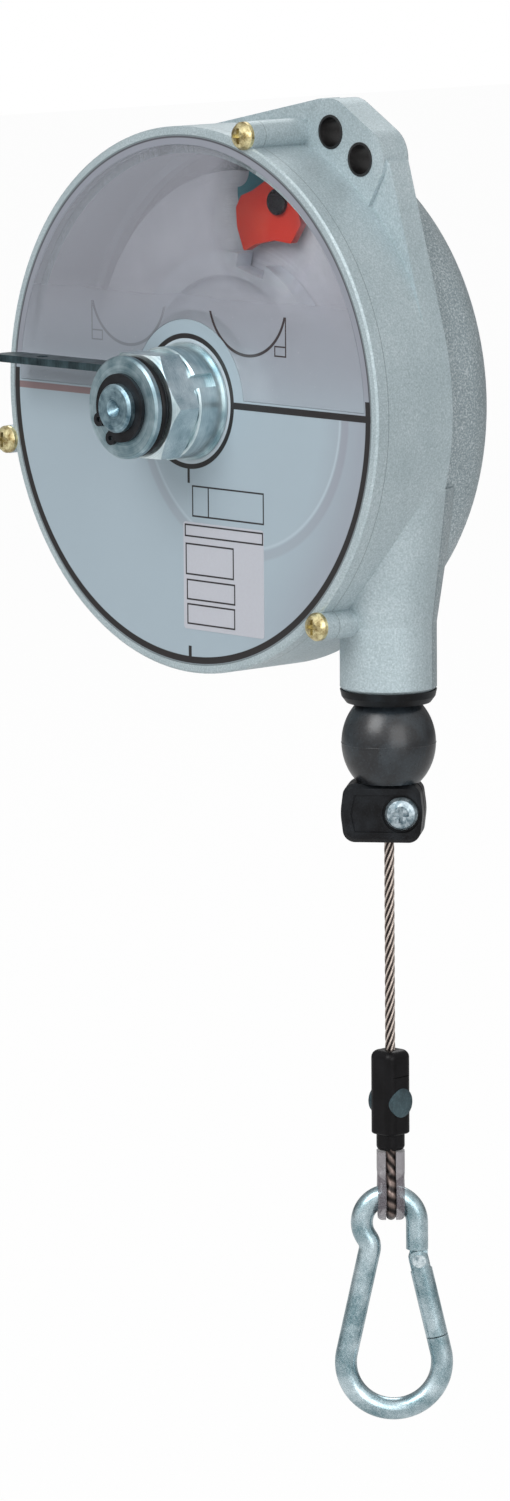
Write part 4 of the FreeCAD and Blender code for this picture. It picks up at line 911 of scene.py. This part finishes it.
@dataclass
class Drum:
    """Drum, its spring, the wound rope and the stop pawl."""

    def build(self) -> None:
        """Dress the CAD pieces."""
        dress(Metal("drum_cast", tone(226, 230, 236), tone(186, 188, 198), rough=0.45,
                    metallic=0.25, patch=16.0), "drum", "spring_cover")
        dress(Metal("spring_strip", tone(96, 100, 108), tone(44, 46, 52)), "power_spring")
        dress(WoundStrand("rope_on_drum"), "wound_rope")
        dress(Coat("teal_paint", tone(58, 128, 142), tone(120, 170, 178), rough=0.4, grain=0.8,
                   depth=0.02, wear_and_sheen=0.4), "pawl_plate")
        dress(Coat("red_paint", tone(216, 52, 34), tone(240, 110, 84), rough=0.3, grain=0.8,
                   depth=0.02, wear_and_sheen=0.4), "safety_pawl")
        dress(Coat("black_pin", tone(14, 12, 15), tone(50, 48, 54), rough=0.22, grain=0.6,
                   depth=0.01), "pawl_pin")


@dataclass
class WireRope:
    """A rope of six strands swept down its line."""

    strands: int = 6
    radius: float = 1.5
    lay: float = 19.5
    around: int = 36
    slices: int = 12
    samples: int = 40001

    def outline(self, angle: np.ndarray) -> np.ndarray:
        """Outline of strands that touch.

        The radius is c cos d + sqrt(s s - c c sin d sin d), s being a strand's radius, c the
        radius of the circle of their centres and d the angle from the nearest strand.

        Args:
            angle: Angles round the rope in radians.

        Returns:
            The radius at each of them.
        """
        strand = self.radius / 3
        circle = self.radius - strand
        step = TURN / self.strands
        off = (angle + step / 2) % step - step / 2
        inner = np.maximum(strand ** 2 - (circle * np.sin(off)) ** 2, 0.0)
        return circle * np.cos(off) + np.sqrt(inner)

    def sweep(self, centres: np.ndarray, length: np.ndarray,
              around: int) -> tuple[np.ndarray, np.ndarray]:
        """Points and map of a rope down an upright line.

        Each ring is the outline turned by its share of the lay.

        Args:
            centres: Points of the line.
            length: Length along the rope at each of them, which sets the twist.
            around: Points round the rope.

        Returns:
            The grid of points, with a row in one place at each end, and its map.
        """
        angle = np.arange(around) / around * TURN
        turned = angle[None, :] - length[:, None] / self.lay * TURN
        radius = self.outline(angle)[None, :]
        rings = centres[:, None, :] + np.stack([radius * np.cos(turned), radius * np.sin(turned),
                                                0 * turned], -1)
        first, last = (np.broadcast_to(centres[end], (1, around, 3)) for end in (0, -1))
        grid = np.concatenate([first, rings, last])
        turn, down = np.meshgrid(np.linspace(0, 1, around + 1) + 0.5 / self.strands,
                                 np.concatenate([length[:1], length, length[-1:]]))
        return grid, np.stack([turn, down], -1)

    def build(self) -> None:
        """Make the hanging rope and the run that follows the load."""
        self.hanging()
        self.running()
        dress(UprightStrand("rope_inside"), "rope_core")

    def hanging(self) -> None:
        """The free rope between clamp and end clip."""
        low, high = span("rope_drop")
        x, y = (low + high)[:2] / 2
        route = [(x, y, high[2]), (x, y, (low[2] + high[2]) / 2), (x, y, low[2])]
        line = nurbs_points(route)
        rings = int((high[2] - low[2]) / self.lay * self.slices * 2)
        level = np.linspace(line[0, 2], line[-1, 2], rings)
        centres = np.stack([np.interp(-level, -line[:, 2], line[:, i]) for i in range(3)], -1)
        grid, uv = self.sweep(centres, high[2] - level, self.around)
        piece = surface("rope_drop_strands", grid, (False, True), "line",
                        SweptStrand("rope_strands").material(), uv)
        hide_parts("rope_drop")

    def running(self) -> None:
        """The rope from drum to buffer, which grows with the pull.

        A point a share t down the run moves by t t (3 - 2 t) of the pull, so rings stand where
        they come out evenly spaced, and evenly twisted, at full travel.
        """
        low, high = span("rope_run")
        rest = high[2] - low[2]
        travel = JOINTS["rope_travel"]["range_m"][1] / MM
        share = np.linspace(0, 1, self.samples)
        pulled = share * rest + travel * share ** 2 * (3 - 2 * share)
        even = np.linspace(0, rest + travel, int((rest + travel) / self.lay * self.slices))
        share = np.interp(even, pulled, share)
        x, y = (low + high)[:2] / 2
        centres = np.stack([np.full_like(share, x), np.full_like(share, y),
                            high[2] - share * rest], -1)
        grid, uv = self.sweep(centres, even, self.around // 2)
        piece = surface("rope_run_strands", grid, (False, True), None,
                        SweptStrand("rope_run_finish").material(), uv)
        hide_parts("rope_run")
        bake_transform(piece)


@dataclass
class Stopper:
    """Rubber buffer and the clamp below it."""

    seam_radius: float = 0.16
    seam_sunk: float = 0.3
    seam_major: int = 96
    seam_minor: int = 12

    def build(self) -> None:
        """Dress the CAD pieces and lay the ball's moulding seam."""
        # The buffer's pale spots are partly painted sheen, standing in for the rubber's broad
        # bluish highlights.
        rubber = dress(Coat("buffer_rubber", tone(16, 18, 22), tone(96, 112, 122), rough=0.24,
                            grain=0.7, depth=0.05, shine=0.55), "rubber_buffer")
        dress(Coat("clamp_black", tone(10, 10, 12), tone(66, 72, 78), rough=0.32, depth=0.08,
                   wear_and_sheen=0.35, shine=0.16), "clamp_front", "clamp_rear")
        dress(Metal("clamp_zinc", tone(186, 198, 204), tone(78, 100, 110), rough=0.36,
                    marks=Marks.CAST, metallic=0.8, patch=1.6), "clamp_screw", "clamp_nut")
        self.seam(rubber)

    def seam(self, rubber: bpy.types.Material) -> None:
        """A thin bead round the ball's widest level: a small circle carried round a large one.

        Args:
            rubber: The ball's material.
        """
        low, high = span("rubber_buffer")
        centre, reach_x = (low + high) / 2, (high[0] - low[0]) / 2
        major = np.linspace(0, TURN, self.seam_major, endpoint=False)[:, None]
        minor = np.linspace(0, TURN, self.seam_minor, endpoint=False)[None, :]
        out = reach_x + self.seam_radius * (np.cos(minor) - self.seam_sunk)
        points = np.stack([centre[0] + out * np.cos(major), centre[1] + out * np.sin(major),
                           centre[2] + self.seam_radius * np.sin(minor) + 0 * major], -1)
        surface("buffer_seam", points, (True, True), "load", rubber)


@dataclass
class EndFittings:
    """End clip, rope eye in its thimble and the snap hook."""

    def build(self) -> None:
        """Dress the CAD pieces."""
        dress(Coat("clip_black", tone(7, 6, 7), tone(40, 40, 44), rough=0.3, grain=0.45,
                   shine=0.14), "end_clip")
        dress(Coat("clip_button", tone(26, 40, 46), tone(104, 132, 140), rough=0.36, grain=0.7,
                   depth=0.12, wear_and_sheen=0.55, shine=0.3), "clip_rivet")
        dress(Metal("ferrule_steel", tone(180, 180, 178), tone(110, 108, 106), rough=0.4,
                    marks=Marks.CAST), "rope_ferrule")
        dress(UprightStrand("rope_in_eye", tone(132, 116, 110), tone(20, 13, 12)), "rope_eye")
        dress(Coat("sleeve_plastic", tone(112, 106, 112), tone(168, 164, 172), rough=0.25,
                   grain=0.8, depth=0.02, wear_and_sheen=0.5, alpha=0.62), "eye_sleeve")
        dress(Metal("hook_zinc", tone(206, 222, 228), tone(108, 138, 146), rough=0.2,
                    marks=Marks.CAST, metallic=0.92, patch=8.0), "hook_body", "hook_gate")
        dress(Metal("hook_rivet", tone(214, 226, 230), tone(120, 140, 148), rough=0.24,
                    marks=Marks.CAST, metallic=0.92, patch=1.5), "gate_pin")


# ------------------------------------------------------------------------------------------------
# studio
# ------------------------------------------------------------------------------------------------
def turned(vector: np.ndarray, axis: np.ndarray, degrees: float) -> np.ndarray:
    """Turn a vector about an axis: v cos t + (k x v) sin t + k (k.v) (1 - cos t).

    Args:
        vector: The vector v.
        axis: The axis k, of length one.
        degrees: The angle t.

    Returns:
        The turned vector.
    """
    angle = math.radians(degrees)
    return (vector * math.cos(angle) + np.cross(axis, vector) * math.sin(angle)
            + axis * (axis @ vector) * (1 - math.cos(angle)))


@dataclass(frozen=True)
class Lamp:
    """A square area lamp aimed at the casing; place and size are in metres about the shaft."""

    name: str
    place: tuple[float, float, float]
    size: float
    power: float

    def build(self) -> None:
        """Make the lamp."""
        data = bpy.data.lights.new(self.name, "AREA")
        data.shape, data.size, data.energy = "SQUARE", self.size, self.power
        lamp = bpy.data.objects.new(self.name, data)
        bpy.context.scene.collection.objects.link(lamp)
        target = Vector(SHAFT * MM)
        lamp.location = target + Vector(self.place)
        lamp.rotation_euler = (target - lamp.location).to_track_quat("-Z", "Y").to_euler()


@dataclass(frozen=True)
class Studio:
    """Camera, lamps and backdrop; angles in degrees, the camera's lengths in millimetres."""

    azimuth: float = 47.925
    elevation: float = 5.865
    distance: float = 2000.0
    yaw: float = -0.535
    pitch: float = -2.926
    roll: float = -0.497
    lens: float = 164.22512
    sensor: float = 36.0
    lamps: tuple[Lamp, ...] = (Lamp("key", (0.2, -1.6, 1.2), 1.2, 24.0),
                               Lamp("side", (1.8, -0.6, 0.4), 1.4, 13.0),
                               Lamp("back", (-1.0, 1.4, 1.4), 1.2, 14.0))
    world_light: float = 0.3
    bright_azimuth: float = 48.0
    floor_z_m: float = -0.46
    floor_half_m: float = 6.0
    floor_white: float = 0.97

    def build(self) -> None:
        """Make the camera, the soft lamps, the world and the floor."""
        self.camera()
        for lamp in self.lamps:
            lamp.build()
        self.world()
        self.floor()

    def camera(self) -> None:
        """Stand on a sphere about the shaft, look at it, then turn by yaw, pitch and roll."""
        azimuth, elevation = math.radians(self.azimuth), math.radians(self.elevation)
        back = np.array([math.sin(azimuth) * math.cos(elevation),
                         -math.cos(azimuth) * math.cos(elevation), math.sin(elevation)])
        right = np.array([math.cos(azimuth), math.sin(azimuth), 0.0])
        up = np.cross(back, right)
        place = (back * self.distance + SHAFT) * MM
        back, right = turned(back, up, self.yaw), turned(right, up, self.yaw)
        back = turned(back, right, self.pitch)
        right = turned(right, back, self.roll)
        up = np.cross(back, right)
        data = bpy.data.cameras.new("camera")
        data.sensor_width = self.sensor
        data.lens = self.lens
        data.clip_end = 50.0
        camera = bpy.data.objects.new("camera", data)
        bpy.context.scene.collection.objects.link(camera)
        matrix = Matrix.Identity(4)
        for column, vector in enumerate((right, up, back, place)):
            for row in range(3):
                matrix[row][column] = vector[row]
        camera.matrix_world = matrix
        bpy.context.scene.camera = camera

    def world(self) -> None:
        """White to the camera and a plain level for light.

        Reflections see a room that is bright towards the camera's side and dark behind.
        """
        world = bpy.data.worlds.new("studio")
        bpy.context.scene.world = world
        tree = Tree(world)
        camera = tree.node("ShaderNodeLightPath", {}, {}, "Is Camera Ray")
        white = camera.at_least(camera.other("Is Transmission Ray"))
        glossy = camera.other("Is Glossy Ray")
        x, y, z = tree.node("ShaderNodeTexCoord", {}, {}, "Generated").parts()
        bright = math.radians(self.bright_azimuth)
        front = (x * math.sin(bright) - y * math.cos(bright)).ramp(-0.45, 0.5)
        shown = 0.10 + front * 0.85 + z.ramp(-0.2, 0.6) * 0.35
        strength = (self.world_light + glossy * (shown - self.world_light)) * (1 - white) + white
        light = tree.node("ShaderNodeBackground", {},
                          {"Color": (1.0, 1.0, 1.0), "Strength": strength})
        tree.output(light, "ShaderNodeOutputWorld")

    def floor(self) -> None:
        """A wide pale floor that keeps the shadow."""
        half, low = self.floor_half_m, self.floor_z_m
        corners = [(-half, -half, low), (half, -half, low), (half, half, low), (-half, half, low)]
        mesh = bpy.data.meshes.new("floor")
        mesh.from_pydata(corners, [], [(0, 1, 2, 3)])
        floor = bpy.data.objects.new("floor", mesh)
        bpy.context.scene.collection.objects.link(floor)
        tree = Tree.named("floor_white")
        lit = tree.node("ShaderNodeBsdfDiffuse", {}, {"Color": (0.9, 0.9, 0.9)})
        white = tree.node("ShaderNodeEmission", {}, {"Color": (1.0, 1.0, 1.0), "Strength": 1.0})
        camera = tree.node("ShaderNodeLightPath", {}, {}, "Is Camera Ray")
        tree.output(tree.node("ShaderNodeMixShader", {},
                              {0: camera * self.floor_white, 1: lit, 2: white}))
        mesh.materials.append(tree.owner)


def main() -> None:
    """Build the looks in order."""
    logging.basicConfig(level=logging.INFO, format="%(name)s: %(message)s")
    bpy.context.scene.view_settings.view_transform = "Standard"
    for part in (Casing(), Hub(), Drum(), WireRope(), Stopper(), EndFittings(), Studio()):
        part.build()


if __name__ == "__main__":
    main()
